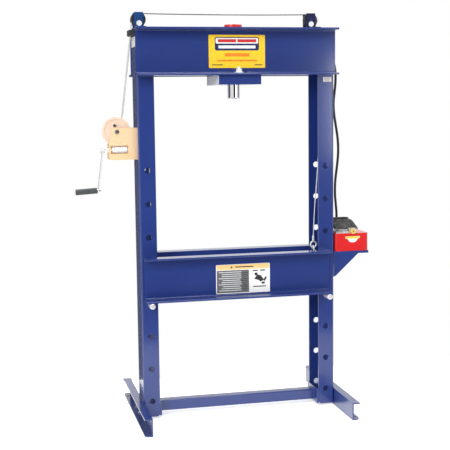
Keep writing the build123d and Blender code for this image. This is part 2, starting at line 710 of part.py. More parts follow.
with BuildPart() as pulley_axles:
    for cx in (SHEAVE_LX, SHEAVE_RX):
        with BuildSketch(Plane.XZ.offset(-31)):
            with Locations((cx, SHEAVE_Z)):
                Circle(6.0)
        extrude(amount=62)
        with BuildSketch(Plane.XZ.offset(-31)):
            with Locations((cx, SHEAVE_Z)):
                Circle(9.0)
        extrude(amount=3.4)
    # spacer tube that keeps the single sheave in the front plane
    with BuildSketch(Plane.XZ.offset(-21.5)):
        with Locations((SHEAVE_RX, SHEAVE_Z)):
            Circle(11.0)
    extrude(amount=21.5)
    # keeper screws below the axles, round heads that reach over the axle ends
    with BuildSketch(Plane.XZ.offset(27.5)):
        with Locations((SHEAVE_LX + 1, 1805.5), (SHEAVE_RX - 1, 1805.5)):
            Circle(5.0)
    extrude(amount=3.8)
    with BuildSketch(Plane.XZ.offset(31.2)):
        with Locations((SHEAVE_LX + 1, 1805.5), (SHEAVE_RX - 1, 1805.5)):
            Circle(12.2)
    extrude(amount=3.4)
save(pulley_axles, "pulley_axles")

# ---------------------------------------------------------------- cables
# tangent from the drum's inner side (towards the upright) up to the outer side of the left sheave
CR = CABLE_D / 2


def tangent_run():
    # both tangent points lie on the cable's own circles; the run crosses between drum and sheave
    x0, z0, r0 = DRUM_X, DRUM_Z, WRAP_R      # right side of the drum
    x1, z1, r1 = SHEAVE_LX, SHEAVE_Z, SHEAVE_R     # left side of the sheave
    dx, dz = x1 - x0, z1 - z0
    L = hypot(dx, dz)
    ux, uz = dx / L, dz / L
    # inner tangent: the offsets point to opposite sides
    s = (r0 + r1) / L
    c = (1 - s * s) ** 0.5
    # normal n with n.u = s for the drum side
    nx, nz = uz * c + ux * s, -ux * c + uz * s
    p0 = (x0 + nx * r0, z0 + nz * r0)
    p1 = (x1 - nx * r1, z1 - nz * r1)
    return p0, p1


T0, T1 = tangent_run()


def cable(name, y, end_x_side, tail):
    # tail: list of (x, z) after the arc over the left sheave
    with BuildPart() as p:
        with BuildLine() as l:
            a0 = atan2(T0[1] - DRUM_Z, T0[0] - DRUM_X)
            for (d0, d1, d2) in ((-290, -215, -145), (-145, -70, 0)):
                ThreePointArc(*[(DRUM_X + WRAP_R * cos(a0 + radians(d)), y, DRUM_Z + WRAP_R * sin(a0 + radians(d))) for d in (d0, d1, d2)])
            Line((T0[0], y, T0[1]), (T1[0], y, T1[1]))
            if end_x_side == "top":
                ang1 = 90.0
            else:
                ang1 = 0.0
            mid = radians((_angle(T1) + ang1) / 2)
            a1 = radians(ang1)
            ThreePointArc((T1[0], y, T1[1]),
                          (SHEAVE_LX + SHEAVE_R * cos(mid), y, SHEAVE_Z + SHEAVE_R * sin(mid)),
                          (SHEAVE_LX + SHEAVE_R * cos(a1), y, SHEAVE_Z + SHEAVE_R * sin(a1)))
            if end_x_side == "top":
                Line((SHEAVE_LX, y, SHEAVE_Z + SHEAVE_R), (SHEAVE_RX, y, SHEAVE_Z + SHEAVE_R))
                m = radians(45)
                ThreePointArc((SHEAVE_RX, y, SHEAVE_Z + SHEAVE_R),
                              (SHEAVE_RX + SHEAVE_R * cos(m), y, SHEAVE_Z + SHEAVE_R * sin(m)),
                              (SHEAVE_RX + SHEAVE_R, y, SHEAVE_Z))
        st = a0 - radians(290)
        with BuildSketch(Plane(origin=(DRUM_X + WRAP_R * cos(st), y, DRUM_Z + WRAP_R * sin(st)), z_dir=(-sin(st), 0, cos(st)))):
            Circle(CR - 0.05)
        sweep(path=l.wires()[0])
    save(p, name)
    return p


def _angle(t):
    a = degrees(atan2(t[1] - SHEAVE_Z, t[0] - SHEAVE_LX))
    return a if a > 0 else a + 360.0


right_cable = cable("right_cable", YA, "top", None)
left_cable = cable("left_cable", YB, "side", None)


def drop(name, pts, y):
    with BuildPart() as p:
        with BuildLine() as l:
            v = [(x, y, z) for x, z in pts]
            if len(v) == 2:
                Line(*v)
            else:
                runs = [hypot(v[i + 1][0] - v[i][0], v[i + 1][2] - v[i][2]) for i in range(len(v) - 1)]
                radii = []
                for i in range(1, len(v) - 1):
                    a = Vector(*v[i]) - Vector(*v[i - 1])
                    b = Vector(*v[i + 1]) - Vector(*v[i])
                    t = radians(a.get_angle(b))
                    radii.append(0.45 * min(runs[i - 1], runs[i]) / tan(t / 2))
                print(name, "radii", [round(r) for r in radii])
                FilletPolyline(*v, radius=radii)
        d = Vector(*v[1]) - Vector(*v[0])
        with BuildSketch(Plane(origin=v[0], z_dir=d)):
            Circle(CR - 0.05)
        sweep(path=l.line)
    save(p, name)
    return p


RIGHT_DROP = [(393.0, SHEAVE_Z - 0.2), (400.0, 1690.0), (407.5, 1540.0), (411.0, 1380.0), (407.0, 1220.0), (397.0, 1070.0), (385.5, 930.0), (380.0, SLEEVE_Z1)]
LEFT_DROP = [(-412.0, SHEAVE_Z - 0.1), (-394.0, SLEEVE_Z1)]
right_drop_cable = drop("right_drop_cable", RIGHT_DROP, YA)
left_drop_cable = drop("left_drop_cable", LEFT_DROP, YB)

# cable guide on the left upright, with a slot round each cable
with BuildPart() as cable_guide:
    with BuildSketch(Plane.XY.offset(1751)):
        with BuildLine():
            Polyline((-460, -70), (-460, 70), (-472, 70), (-486, 30), (-486, -30), (-472, -70), close=True)
        make_face()
        with Locations((-474.5, YA), (-474.5, YB)):
            RectangleRounded(13, 11, 4, mode=Mode.SUBTRACT)
    extrude(amount=24)
save(cable_guide, "cable_guide")

# ---------------------------------------------------------------- pump tray with welded gussets
with BuildPart() as pump_tray:
    with BuildSketch(Plane.XY.offset(TRAY_Z - 4)):
        with BuildLine():
            Polyline((POST_X, -76), (634, -76), (634, 128), (POST_X, 128), close=True)
        make_face()
    extrude(amount=4)
    with BuildSketch(Plane.XZ.offset(72)):
        with BuildLine():
            Polyline((POST_X, TRAY_Z - 4), (634, TRAY_Z - 4), (634, TRAY_Z - 12), (POST_X, TRAY_Z - 12), close=True)
        make_face()
    extrude(amount=4)
    with BuildSketch(Plane.YZ.offset(630)):
        with BuildLine():
            Polyline((-76, TRAY_Z - 4), (128, TRAY_Z - 4), (128, TRAY_Z - 12), (-76, TRAY_Z - 12), close=True)
        make_face()
    extrude(amount=4)
    for y in (-76.0, 70.0):
        with BuildSketch(Plane.XZ.offset(-(y + 5))):
            with BuildLine():
                Polyline((POST_X, TRAY_Z - 4), (588, TRAY_Z - 4), (583, TRAY_Z - 12), (470, 626), (POST_X, 622), close=True)
            make_face()
        extrude(amount=5)
save(pump_tray, "pump_tray")

# ---------------------------------------------------------------- foot pump
with BuildPart() as oil_reservoir:
    with BuildSketch(Plane.XY.offset(TRAY_Z)):
        with Locations(((PUMP_X0 + PUMP_X1) / 2, (PUMP_Y0 + PUMP_Y1) / 2)):
            RectangleRounded(PUMP_X1 - PUMP_X0, PUMP_Y1 - PUMP_Y0, 9)
    extrude(amount=PUMP_Z1 - TRAY_Z)
    with BuildSketch(Plane.XY.offset(TRAY_Z + 4)):
        with Locations(((PUMP_X0 + PUMP_X1) / 2, (PUMP_Y0 + PUMP_Y1) / 2)):
            RectangleRounded(PUMP_X1 - PUMP_X0 - 8, PUMP_Y1 - PUMP_Y0 - 8, 6)
    extrude(amount=PUMP_Z1, mode=Mode.SUBTRACT)
save(oil_reservoir, "oil_reservoir")

BX, BY = 30.0, 30.0
with BuildPart() as reservoir_lid:
    with BuildSketch(Plane.XY.offset(PUMP_Z1)):
        with Locations(((PUMP_X0 + PUMP_X1) / 2, (PUMP_Y0 + PUMP_Y1) / 2)):
            RectangleRounded(PUMP_X1 - PUMP_X0, PUMP_Y1 - PUMP_Y0, 9)
        with Locations((540, BY)):
            Circle(16.0, mode=Mode.SUBTRACT)
        with Locations((612, 96)):
            Circle(8.0, mode=Mode.SUBTRACT)
    extrude(amount=4)
save(reservoir_lid, "reservoir_lid")

HEADP_Z0 = PUMP_Z1 + 4
AIR_X, AIR_Z = 553.0, HEADP_Z0 + 11
OUT_X, OUT_Y = 530.0, 86.0
with BuildPart() as pump_head:
    with BuildSketch(Plane.XY.offset(HEADP_Z0)):
        with BuildLine():
            Polyline((506, -72), (572, -72), (572, 104), (506, 104), close=True)
        make_face()
    extrude(amount=9)
    fillet(pump_head.edges().filter_by(Axis.Z), 5)
    # lower valve block towards the upright
    with BuildSketch(Plane.XY.offset(HEADP_Z0)):
        with BuildLine():
            Polyline((476, -64), (506, -64), (506, 88), (476, 88), close=True)
        make_face()
    extrude(amount=8)
    # bosses of the air inlet and the oil outlet
    with BuildSketch(Plane.XY.offset(HEADP_Z0)):
        with BuildLine():
            Polyline((AIR_X - 16, -72), (AIR_X + 16, -72), (AIR_X + 16, -53), (AIR_X - 16, -53), close=True)
        make_face()
    extrude(amount=24)
    with BuildSketch(Plane.XY.offset(HEADP_Z0)):
        with Locations((OUT_X, OUT_Y)):
            Circle(14.0)
    extrude(amount=22)
    # pivot lugs for the treadle, rounded about the pivot
    for x in (500.0, 570.0):
        with BuildSketch(Plane.YZ.offset(x)):
            with BuildLine():
                Polyline((TREADLE_Y - 12, HEADP_Z0 + 2), (TREADLE_Y + 12, HEADP_Z0 + 2), (TREADLE_Y + 7.5, TREADLE_Z + 1), (TREADLE_Y - 7.5, TREADLE_Z + 1), close=True)
            make_face()
            with Locations((TREADLE_Y, TREADLE_Z)):
                Circle(8.4)
                Circle(4.0, mode=Mode.SUBTRACT)
        extrude(amount=8)
    # barrel bore and the air and oil ports
    with BuildSketch(Plane.XY.offset(HEADP_Z0 - 1)):
        with Locations((540, BY)):
            Circle(9.0)
    extrude(amount=8, mode=Mode.SUBTRACT)
    with BuildSketch(Plane.XZ.offset(60)):
        with Locations((553, HEADP_Z0 + 11)):
            Circle(7.0)
    extrude(amount=20, mode=Mode.SUBTRACT)
    with BuildSketch(Plane.XY.offset(HEADP_Z0 + 10)):
        with Locations((OUT_X, OUT_Y)):
            Circle(7.0)
    extrude(amount=20, mode=Mode.SUBTRACT)
save(pump_head, "pump_head")

with BuildPart() as pump_barrel:
    with BuildSketch(Plane.XY.offset(756)):
        with Locations((540, BY)):
            Circle(15.5)
    extrude(amount=HEADP_Z0 - 756)
    with BuildSketch(Plane.XY.offset(764)):
        with Locations((540, BY)):
            Circle(8.06)
    extrude(amount=100, mode=Mode.SUBTRACT)
save(pump_barrel, "pump_barrel")

with BuildPart() as pump_plunger:
    with BuildSketch(Plane.XY.offset(780)):
        with Locations((540, BY)):
            Circle(8.0)
    extrude(amount=HEADP_Z0 + 6 - 780)
save(pump_plunger, "pump_plunger")

# treadle: sloping pressed plate with turned-down sides and raised ribs
TY0, TY1 = -46.0, 62.0
TS = (884.0 - 848.0) / (60.0 + 44.0)


def tz(y):
    return 848.0 + TS * (y + 44.0)


with BuildPart() as treadle:
    with BuildSketch(Plane.YZ.offset(486)):
        with BuildLine():
            Polyline((TY0, tz(TY0) - 4), (TY1, tz(TY1) - 4), (TY1, tz(TY1)), (TY0, tz(TY0)), close=True)
        make_face()
    extrude(amount=106)
    for x in (486.0, 588.0):
        with BuildSketch(Plane.YZ.offset(x)):
            with BuildLine():
                Polyline((TY0, tz(TY0)), (TY1, tz(TY1)), (TY1, tz(TY1) - 12), (TREADLE_Y + 10, TREADLE_Z - 8), (TREADLE_Y - 10, TREADLE_Z - 8), (TY0, tz(TY0) - 5), close=True)
            make_face()
        extrude(amount=4)
    for y in (-32.0, -14.0, 4.0, 22.0, 40.0):
        with BuildSketch(Plane.YZ.offset(494)):
            with BuildLine():
                Polyline((y, tz(y) - 1), (y + 7, tz(y + 7) - 1), (y + 7, tz(y + 7) + 2), (y, tz(y) + 2), close=True)
            make_face()
        extrude(amount=90)
    # heel bar along the high edge
    with BuildSketch(Plane.YZ.offset(486)):
        with BuildLine():
            Polyline((TY1 - 6, tz(TY1 - 6) - 1), (TY1, tz(TY1) - 1), (TY1, tz(TY1) + 6), (TY1 - 6, tz(TY1 - 6) + 6), close=True)
        make_face()
    extrude(amount=106)
    with BuildSketch(Plane.YZ.offset(480)):
        with Locations((TREADLE_Y, TREADLE_Z)):
            Circle(4.06)
    extrude(amount=120, mode=Mode.SUBTRACT)
    # corners of the plate: a large round at the back right, small ones elsewhere
    with BuildSketch(Plane.XY.offset(760)):
        with BuildLine():
            Polyline((486, TY0), (592, TY0), (592, TY1 - 30), (588, TY1 - 15), (577, TY1 - 4), (562, TY1), (494, TY1), (486, TY1 - 8), close=True)
        make_face()
    extrude(amount=200, mode=Mode.INTERSECT)
save(treadle, "treadle")

with BuildPart() as treadle_pin:
    with BuildSketch(Plane.YZ.offset(482)):
        with Locations((TREADLE_Y, TREADLE_Z)):
            Circle(4.0)
    extrude(amount=114)
save(treadle_pin, "treadle_pin")

with BuildPart() as air_inlet_fitting:
    with BuildSketch(Plane.XZ.offset(60)):
        with Locations((AIR_X, AIR_Z)):
            Circle(7.0)
    extrude(amount=12)
    with BuildSketch(Plane.XZ.offset(72)):
        with Locations((AIR_X, AIR_Z)):
            Circle(9.0)
    extrude(amount=5)
    with BuildSketch(Plane.XZ.offset(77)):
        with Locations((AIR_X, AIR_Z)):
            RegularPolygon(12.7, 6)
    extrude(amount=15)
    with BuildSketch(Plane.XZ.offset(70)):
        with Locations((AIR_X, AIR_Z)):
            Circle(4.5)
    extrude(amount=40, mode=Mode.SUBTRACT)
save(air_inlet_fitting, "air_inlet_fitting")

with BuildPart() as pump_outlet_fitting:
    with BuildSketch(Plane.XY.offset(HEADP_Z0 + 10)):
        with Locations((OUT_X, OUT_Y)):
            Circle(7.0)
    extrude(amount=12)
    with BuildSketch(Plane.XY.offset(HEADP_Z0 + 22)):
        with Locations((OUT_X, OUT_Y)):
            RegularPolygon(11.0, 6)
    extrude(amount=12)
    with BuildSketch(Plane.XY.offset(HEADP_Z0 + 34)):
        with Locations((OUT_X, OUT_Y)):
            Circle(8.5)
    extrude(amount=18)
save(pump_outlet_fitting, "pump_outlet_fitting")
HOSE_Z0 = HEADP_Z0 + 52

# ---------------------------------------------------------------- hydraulic hose from the pump to the cylinder
FIT_X0 = CYL_BORE / 2 + 20
with BuildPart() as cylinder_port_fitting:
    with BuildSketch(Plane.YZ.offset(FIT_X0)):
        with Locations((0, PORT_Z)):
            RegularPolygon(12.0, 6)
    extrude(amount=14)
    with BuildSketch(Plane.YZ.offset(FIT_X0 + 14)):
        with Locations((0, PORT_Z)):
            Circle(8.5)
    extrude(amount=20)
save(cylinder_port_fitting, "cylinder_port_fitting")

HOSE = [
    (530.0, 86.0, HOSE_Z0), (530.0, 86.0, 906.0), (526.0, 83.5, 944.0), (518.5, 78.0, 1000.0), (517.0, 70.5, 1064.0),
    (524.0, 65.0, 1130.0), (531.0, 63.5, 1196.0), (529.5, 63.0, 1262.0), (520.0, 64.5, 1326.0), (510.0, 66.0, 1386.0),
    (507.0, 67.0, 1440.0), (512.5, 66.0, 1492.0), (517.0, 63.0, 1540.0), (515.5, 59.0, 1585.0), (508.0, 55.0, 1625.0),
    (491.0, 51.0, 1660.0), (463.0, 48.0, 1685.0), (427.0, 45.5, 1701.0), (384.0, 42.5, 1709.0), (330.0, 38.0, 1712.0),
    (268.0, 29.0, 1711.0), (205.0, 15.0, 1708.0), (158.0, 4.0, 1705.0), (118.0, 0.0, PORT_Z), (FIT_X0 + 34.0, 0.0, PORT_Z),
]
hv = [Vector(*p) for p in HOSE]
hr = []
for i in range(1, len(hv) - 1):
    a, b = hv[i] - hv[i - 1], hv[i + 1] - hv[i]
    hr.append(0.45 * min(a.length, b.length) / tan(radians(a.get_angle(b)) / 2))
print("hose runs", [round((hv[i + 1] - hv[i]).length) for i in range(len(hv) - 1)])
print("hose radii", [round(r) for r in hr])
with BuildPart() as hydraulic_hose:
    with BuildLine() as hl:
        FilletPolyline(*HOSE, radius=hr)
    with BuildSketch(Plane(origin=HOSE[0], z_dir=hv[1] - hv[0])):
        Circle(HOSE_D / 2)
    sweep(path=hl.line)
L = sum(e.length for e in hl.line.edges())
print("hose length", round(L), "volume", round(hydraulic_hose.part.volume), "section x length", round(pi * HOSE_D ** 2 / 4 * L))
save(hydraulic_hose, "hydraulic_hose")

# ---------------------------------------------------------------- plain plates
with BuildPart() as rating_plate:
    with BuildSketch(Plane.XZ.offset(POST_D / 2 + CH_WEB)):
        with Locations((-2, 1678)):
            RectangleRounded(262, 148, 4)
    extrude(amount=1.2)
save(rating_plate, "rating_plate")

with BuildPart() as bed_plate:
    with BuildSketch(Plane.XZ.offset(BED_GAP + CH_WEB)):
        with Locations((15, 637.5)):
            RectangleRounded(257, 136, 4)
    extrude(amount=1.2)
save(bed_plate, "bed_plate")

with BuildPart() as small_plates:
    with BuildSketch(Plane.XZ.offset(POST_D / 2)):
        with Locations((428.5, 1550)):
            RectangleRounded(40, 22, 2)
    extrude(amount=0.8)
    with BuildSketch(Plane.YZ.offset(-POST_X)):
        with Locations((0, 1725)):
            RectangleRounded(132, 46, 3)
    extrude(amount=-0.8)
    with BuildSketch(Plane.XZ.offset(-PUMP_Y0)):
        with BuildLine():
            Polyline((519, 812), (591, 812), (591, 803), (580, 799), (570, 786), (562, 783), (548, 783), (540, 786), (530, 799), (519, 803), close=True)
        make_face()
    extrude(amount=1.0)
save(small_plates, "small_plates")
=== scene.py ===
import bpy
import bmesh
import math
from mathutils import Vector, Matrix


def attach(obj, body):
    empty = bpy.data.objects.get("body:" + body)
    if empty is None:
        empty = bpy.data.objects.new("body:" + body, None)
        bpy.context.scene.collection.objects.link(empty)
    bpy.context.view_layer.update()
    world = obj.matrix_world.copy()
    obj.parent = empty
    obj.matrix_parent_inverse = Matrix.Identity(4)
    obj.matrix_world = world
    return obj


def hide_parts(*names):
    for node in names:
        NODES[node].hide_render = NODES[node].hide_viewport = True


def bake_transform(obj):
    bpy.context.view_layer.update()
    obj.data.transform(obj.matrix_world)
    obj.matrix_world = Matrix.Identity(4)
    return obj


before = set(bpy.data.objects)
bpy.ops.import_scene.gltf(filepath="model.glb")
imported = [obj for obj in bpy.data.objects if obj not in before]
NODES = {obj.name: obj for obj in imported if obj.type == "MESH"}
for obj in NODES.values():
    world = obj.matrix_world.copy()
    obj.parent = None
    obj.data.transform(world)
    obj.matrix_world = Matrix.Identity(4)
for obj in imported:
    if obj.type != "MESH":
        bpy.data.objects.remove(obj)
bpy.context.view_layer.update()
scene = bpy.context.scene


def mm(*p):
    return Vector(p) / 1000.0


# ------------------------------------------------------------------ camera
PSI, THETA, RHO = 0.2250, 0.1159, -0.0123
fwd = Vector((math.sin(PSI) * math.cos(THETA), math.cos(PSI) * math.cos(THETA), -math.sin(THETA)))
right = Vector((math.cos(PSI), -math.sin(PSI), 0.0))
up = right.cross(fwd)
r2 = right * math.cos(RHO) + up * math.sin(RHO)
u2 = -right * math.sin(RHO) + up * math.cos(RHO)
cam_data = bpy.data.cameras.new("camera")
cam_data.sensor_width = 36.0
cam_data.lens = 1035.3 / 450.0 * 36.0
cam_data.clip_end = 60.0
cam = bpy.data.objects.new("camera", cam_data)
scene.collection.objects.link(cam)
m = Matrix.Identity(4)
for i in range(3):
    m[i][0], m[i][1], m[i][2] = r2[i], u2[i], -fwd[i]
m.translation = Vector((-1.1225, -4.6910, 1.4404))
cam.matrix_world = m
scene.camera = cam
scene.view_settings.view_transform = "Standard"


# ------------------------------------------------------------------ material kit
def nd(nt, kind, **inputs):
    n = nt.nodes.new(kind)
    for k, v in inputs.items():
        n.inputs[k.replace("_", " ")].default_value = v
    return n


def new_mat(name):
    mt = bpy.data.materials.new(name)
    mt.use_nodes = True
    nt = mt.node_tree
    nt.nodes.clear()
    out = nt.nodes.new("ShaderNodeOutputMaterial")
    bs = nt.nodes.new("ShaderNodeBsdfPrincipled")
    nt.links.new(bs.outputs["BSDF"], out.inputs["Surface"])
    return mt, nt, bs


def coords(nt, scale=(1, 1, 1)):
    tc = nt.nodes.new("ShaderNodeTexCoord")
    mp = nt.nodes.new("ShaderNodeMapping")
    mp.inputs["Scale"].default_value = scale
    nt.links.new(tc.outputs["Object"], mp.inputs["Vector"])
    return mp.outputs["Vector"]


def noise_tex(nt, vec, scale, detail=3.0, rough=0.5):
    n = nt.nodes.new("ShaderNodeTexNoise")
    n.inputs["Scale"].default_value = scale
    n.inputs["Detail"].default_value = detail
    n.inputs["Roughness"].default_value = rough
    nt.links.new(vec, n.inputs["Vector"])
    return n.outputs["Fac"]


def ramp(nt, fac, a, b, ca, cb):
    r = nt.nodes.new("ShaderNodeValToRGB")
    r.color_ramp.elements[0].position = a
    r.color_ramp.elements[1].position = b
    r.color_ramp.elements[0].color = (*ca, 1) if len(ca) == 3 else ca
    r.color_ramp.elements[1].color = (*cb, 1) if len(cb) == 3 else cb
    nt.links.new(fac, r.inputs["Fac"])
    return r.outputs["Color"]


def remap(nt, fac, a, b, lo, hi):
    r = nt.nodes.new("ShaderNodeMapRange")
    r.inputs["From Min"].default_value = a
    r.inputs["From Max"].default_value = b
    r.inputs["To Min"].default_value = lo
    r.inputs["To Max"].default_value = hi
    nt.links.new(fac, r.inputs["Value"])
    return r.outputs["Result"]


def mix_rgb(nt, fac, a, b, blend="MIX"):
    n = nt.nodes.new("ShaderNodeMix")
    n.data_type = "RGBA"
    n.blend_type = blend
    if isinstance(fac, (int, float)):
        n.inputs["Factor"].default_value = fac
    else:
        nt.links.new(fac, n.inputs["Factor"])
    for sock, v in (("A", a), ("B", b)):
        s = [x for x in n.inputs if x.name == sock and x.type == "RGBA"][0]
        if isinstance(v, tuple):
            s.default_value = (*v, 1) if len(v) == 3 else v
        else:
            nt.links.new(v, s)
    return [x for x in n.outputs if x.type == "RGBA"][0]


def math_node(nt, op, a, b=None):
    n = nt.nodes.new("ShaderNodeMath")
    n.operation = op
    for i, v in enumerate((a, b)):
        if v is None:
            continue
        if isinstance(v, (int, float)):
            n.inputs[i].default_value = v
        else:
            nt.links.new(v, n.inputs[i])
    return n.outputs[0]


def edge_mask(nt, radius):
    """White on outer edges: how far the rounded normal leans from the true one."""
    bv = nt.nodes.new("ShaderNodeBevel")
    bv.samples = 4
    bv.inputs["Radius"].default_value = radius
    g = nt.nodes.new("ShaderNodeNewGeometry")
    d = nt.nodes.new("ShaderNodeVectorMath")
    d.operation = "DOT_PRODUCT"
    nt.links.new(bv.outputs["Normal"], d.inputs[0])
    nt.links.new(g.outputs["Normal"], d.inputs[1])
    return remap(nt, d.outputs["Value"], 0.998, 0.90, 0.0, 1.0)


def bump(nt, bs, height, strength, distance, bevel=None):
    b = nt.nodes.new("ShaderNodeBump")
    b.inputs["Strength"].default_value = strength
    b.inputs["Distance"].default_value = distance
    nt.links.new(height, b.inputs["Height"])
    if bevel:
        bv = nt.nodes.new("ShaderNodeBevel")
        bv.samples = 4
        bv.inputs["Radius"].default_value = bevel
        nt.links.new(bv.outputs["Normal"], b.inputs["Normal"])
    nt.links.new(b.outputs["Normal"], bs.inputs["Normal"])
    return b


def facing(nt, axis, lo, hi):
    """White on faces whose normal leans along one axis."""
    g = nt.nodes.new("ShaderNodeNewGeometry")
    sx = nt.nodes.new("ShaderNodeSeparateXYZ")
    nt.links.new(g.outputs["Normal"], sx.inputs["Vector"])
    return remap(nt, sx.outputs[axis], lo, hi, 0.0, 1.0)


def paint(name, col, dark, worn, rough=(0.30, 0.38), wear=0.45, peel=0.05, coat=0.5, bevel=0.0012, painted_side_reflection=None, right=None):
    """Sprayed enamel: slow colour drift, orange peel, dust in random patches and thin paint along the edges."""
    mt, nt, bs = new_mat(name)
    v = coords(nt)
    slow = noise_tex(nt, v, 3.2, 4.0, 0.55)
    fine = noise_tex(nt, v, 140.0, 2.0, 0.5)
    c = ramp(nt, slow, 0.30, 0.72, dark, col)
    dust = noise_tex(nt, v, 26.0, 6.0, 0.65)
    c = mix_rgb(nt, remap(nt, dust, 0.56, 0.80, 0.0, 0.07), c, tuple(min(1.0, x * 1.15 + 0.012) for x in col))
    e = edge_mask(nt, 0.0022)
    patch = noise_tex(nt, v, 55.0, 5.0, 0.7)
    e = math_node(nt, "MULTIPLY", e, remap(nt, patch, 0.42, 0.66, 0.0, wear))
    c = mix_rgb(nt, e, c, worn)
    # painted shade: the part lying at positive X takes the darker right colour
    if right:
        px = nt.nodes.new("ShaderNodeSeparateXYZ")
        nt.links.new(v, px.inputs["Vector"])
        c = mix_rgb(nt, remap(nt, px.outputs["X"], -0.01, 0.01, 0.0, 1.0), c, right)
    # painted reflection: faces turned towards -X take a pale colour, as if they mirrored a bright side
    if painted_side_reflection:
        c = mix_rgb(nt, facing(nt, "X", -0.5, -0.9), c, painted_side_reflection)
    nt.links.new(c, bs.inputs["Base Color"])
    r = noise_tex(nt, v, 9.0, 4.0, 0.6)
    nt.links.new(remap(nt, r, 0.3, 0.7, rough[0], rough[1]), bs.inputs["Roughness"])
    bs.inputs["IOR"].default_value = 1.52
    bs.inputs["Specular IOR Level"].default_value = 0.3
    bs.inputs["Coat Weight"].default_value = coat
    bs.inputs["Coat Roughness"].default_value = 0.12
    bump(nt, bs, fine, peel, 0.0006, bevel)
    return mt


def metal(name, col, col2, rough=(0.22, 0.36), scale=30.0, brushed=None, bumps=0.08, bevel=0.0007, metallic=1.0, tint=None, tint_max=0.85, painted_top_shade=None, above=None):
    """Bare or plated metal with cloudy colour and roughness; brushed gives scratches stretched along one axis."""
    mt, nt, bs = new_mat(name)
    v = coords(nt)
    cloud = noise_tex(nt, v, scale, 5.0, 0.62)
    c = ramp(nt, cloud, 0.34, 0.68, col2, col)
    if tint:
        t = noise_tex(nt, v, scale * 0.35, 3.0, 0.6)
        c = mix_rgb(nt, remap(nt, t, 0.42, 0.62, 0.0, tint_max), c, tint)
    # painted shade: faces turned upwards take a dark brown colour
    if painted_top_shade:
        c = mix_rgb(nt, facing(nt, "Z", 0.6, 0.9), c, painted_top_shade)
    # a second colour above a given height: real blue paint on the axle heads, painted shade on the top cable run
    if above:
        pz = nt.nodes.new("ShaderNodeSeparateXYZ")
        nt.links.new(v, pz.inputs["Vector"])
        c = mix_rgb(nt, remap(nt, pz.outputs["Z"], above[0], above[0] + 0.001, 0.0, 1.0), c, above[1])
    nt.links.new(c, bs.inputs["Base Color"])
    bs.inputs["Metallic"].default_value = metallic
    vb = coords(nt, brushed) if brushed else v
    s = noise_tex(nt, vb, 60.0 if brushed else 220.0, 3.0, 0.6)
    nt.links.new(remap(nt, s, 0.3, 0.7, rough[0], rough[1]), bs.inputs["Roughness"])
    bump(nt, bs, s, bumps, 0.0003, bevel)
    return mt


def plastic(name, col, col2, rough=(0.4, 0.55), grain=400.0, bumps=0.2, bevel=0.0006, coat=0.0):
    mt, nt, bs = new_mat(name)
    v = coords(nt)
    c = ramp(nt, noise_tex(nt, v, 18.0, 4.0, 0.6), 0.35, 0.68, col2, col)
    nt.links.new(c, bs.inputs["Base Color"])
    g = noise_tex(nt, v, grain, 2.0, 0.5)
    nt.links.new(remap(nt, g, 0.3, 0.7, rough[0], rough[1]), bs.inputs["Roughness"])
    bs.inputs["Coat Weight"].default_value = coat
    bump(nt, bs, g, bumps, 0.0003, bevel)
    return mt


BLUE = paint("frame_blue", (0.008, 0.028, 0.172), (0.007, 0.025, 0.158), (0.060, 0.10, 0.34), rough=(0.42, 0.5), coat=1.0, bevel=0.0032)
# the mount block's faces turned to -X carry a painted pale reflection
BLUE_BLOCK = paint("block_blue", (0.008, 0.028, 0.172), (0.007, 0.025, 0.158), (0.060, 0.10, 0.34), rough=(0.42, 0.5), coat=1.0, bevel=0.002, painted_side_reflection=(0.80, 0.82, 0.88))
# painted shade: the right pulley bracket gets a much darker blue than the left one
BLUE_DARK = paint("bracket_blue", (0.008, 0.052, 0.170), (0.007, 0.044, 0.145), (0.06, 0.12, 0.26), right=(0.007, 0.006, 0.050))
RED = paint("pump_red", (0.60, 0.012, 0.014), (0.54, 0.010, 0.012), (0.66, 0.10, 0.08), rough=(0.28, 0.38), wear=0.3)
# black enamel: the strong grey edge wear is partly wear and partly a painted highlight along the treadle's edges
BLACK = paint("black_enamel", (0.010, 0.010, 0.012), (0.007, 0.007, 0.008), (0.42, 0.42, 0.42), rough=(0.42, 0.58), wear=1.0, coat=0.12)
ARM = paint("arm_grey", (0.62, 0.63, 0.64), (0.54, 0.55, 0.56), (0.40, 0.40, 0.40), rough=(0.25, 0.4), wear=0.4)
CHROME = metal("ram_chrome", (0.78, 0.78, 0.80), (0.66, 0.66, 0.69), rough=(0.06, 0.12), scale=14.0, brushed=(1, 1, 14), bumps=0.02)
STEEL = metal("turned_steel", (0.50, 0.50, 0.51), (0.38, 0.38, 0.40), rough=(0.24, 0.42), brushed=(6, 1, 6))
ZINC = metal("bright_zinc", (0.78, 0.79, 0.80), (0.62, 0.63, 0.66), rough=(0.16, 0.34), scale=60.0)
WHITE_ZINC = metal("white_zinc", (0.91, 0.915, 0.93), (0.82, 0.83, 0.85), rough=(0.25, 0.4), scale=60.0, metallic=0.35)
AXLE = metal("axle_and_keepers", (0.91, 0.915, 0.93), (0.82, 0.83, 0.85), rough=(0.25, 0.4), scale=60.0, metallic=0.35, above=(1.8172, (0.02, 0.04, 0.14)))
PIN = metal("pin_zinc", (0.82, 0.83, 0.85), (0.74, 0.75, 0.77), rough=(0.28, 0.42), scale=60.0, metallic=0.7)
SHEAVE = metal("sheave_blackened", (0.085, 0.09, 0.11), (0.06, 0.064, 0.08), rough=(0.25, 0.42), scale=50.0)
# painted highlight: the drop cables use a lighter copy of the wire colour
CABLE_PAINTED_LIGHT = metal("wire_painted_lighter", (0.86, 0.87, 0.88), (0.72, 0.73, 0.75), rough=(0.3, 0.5), scale=120.0, metallic=0.6)
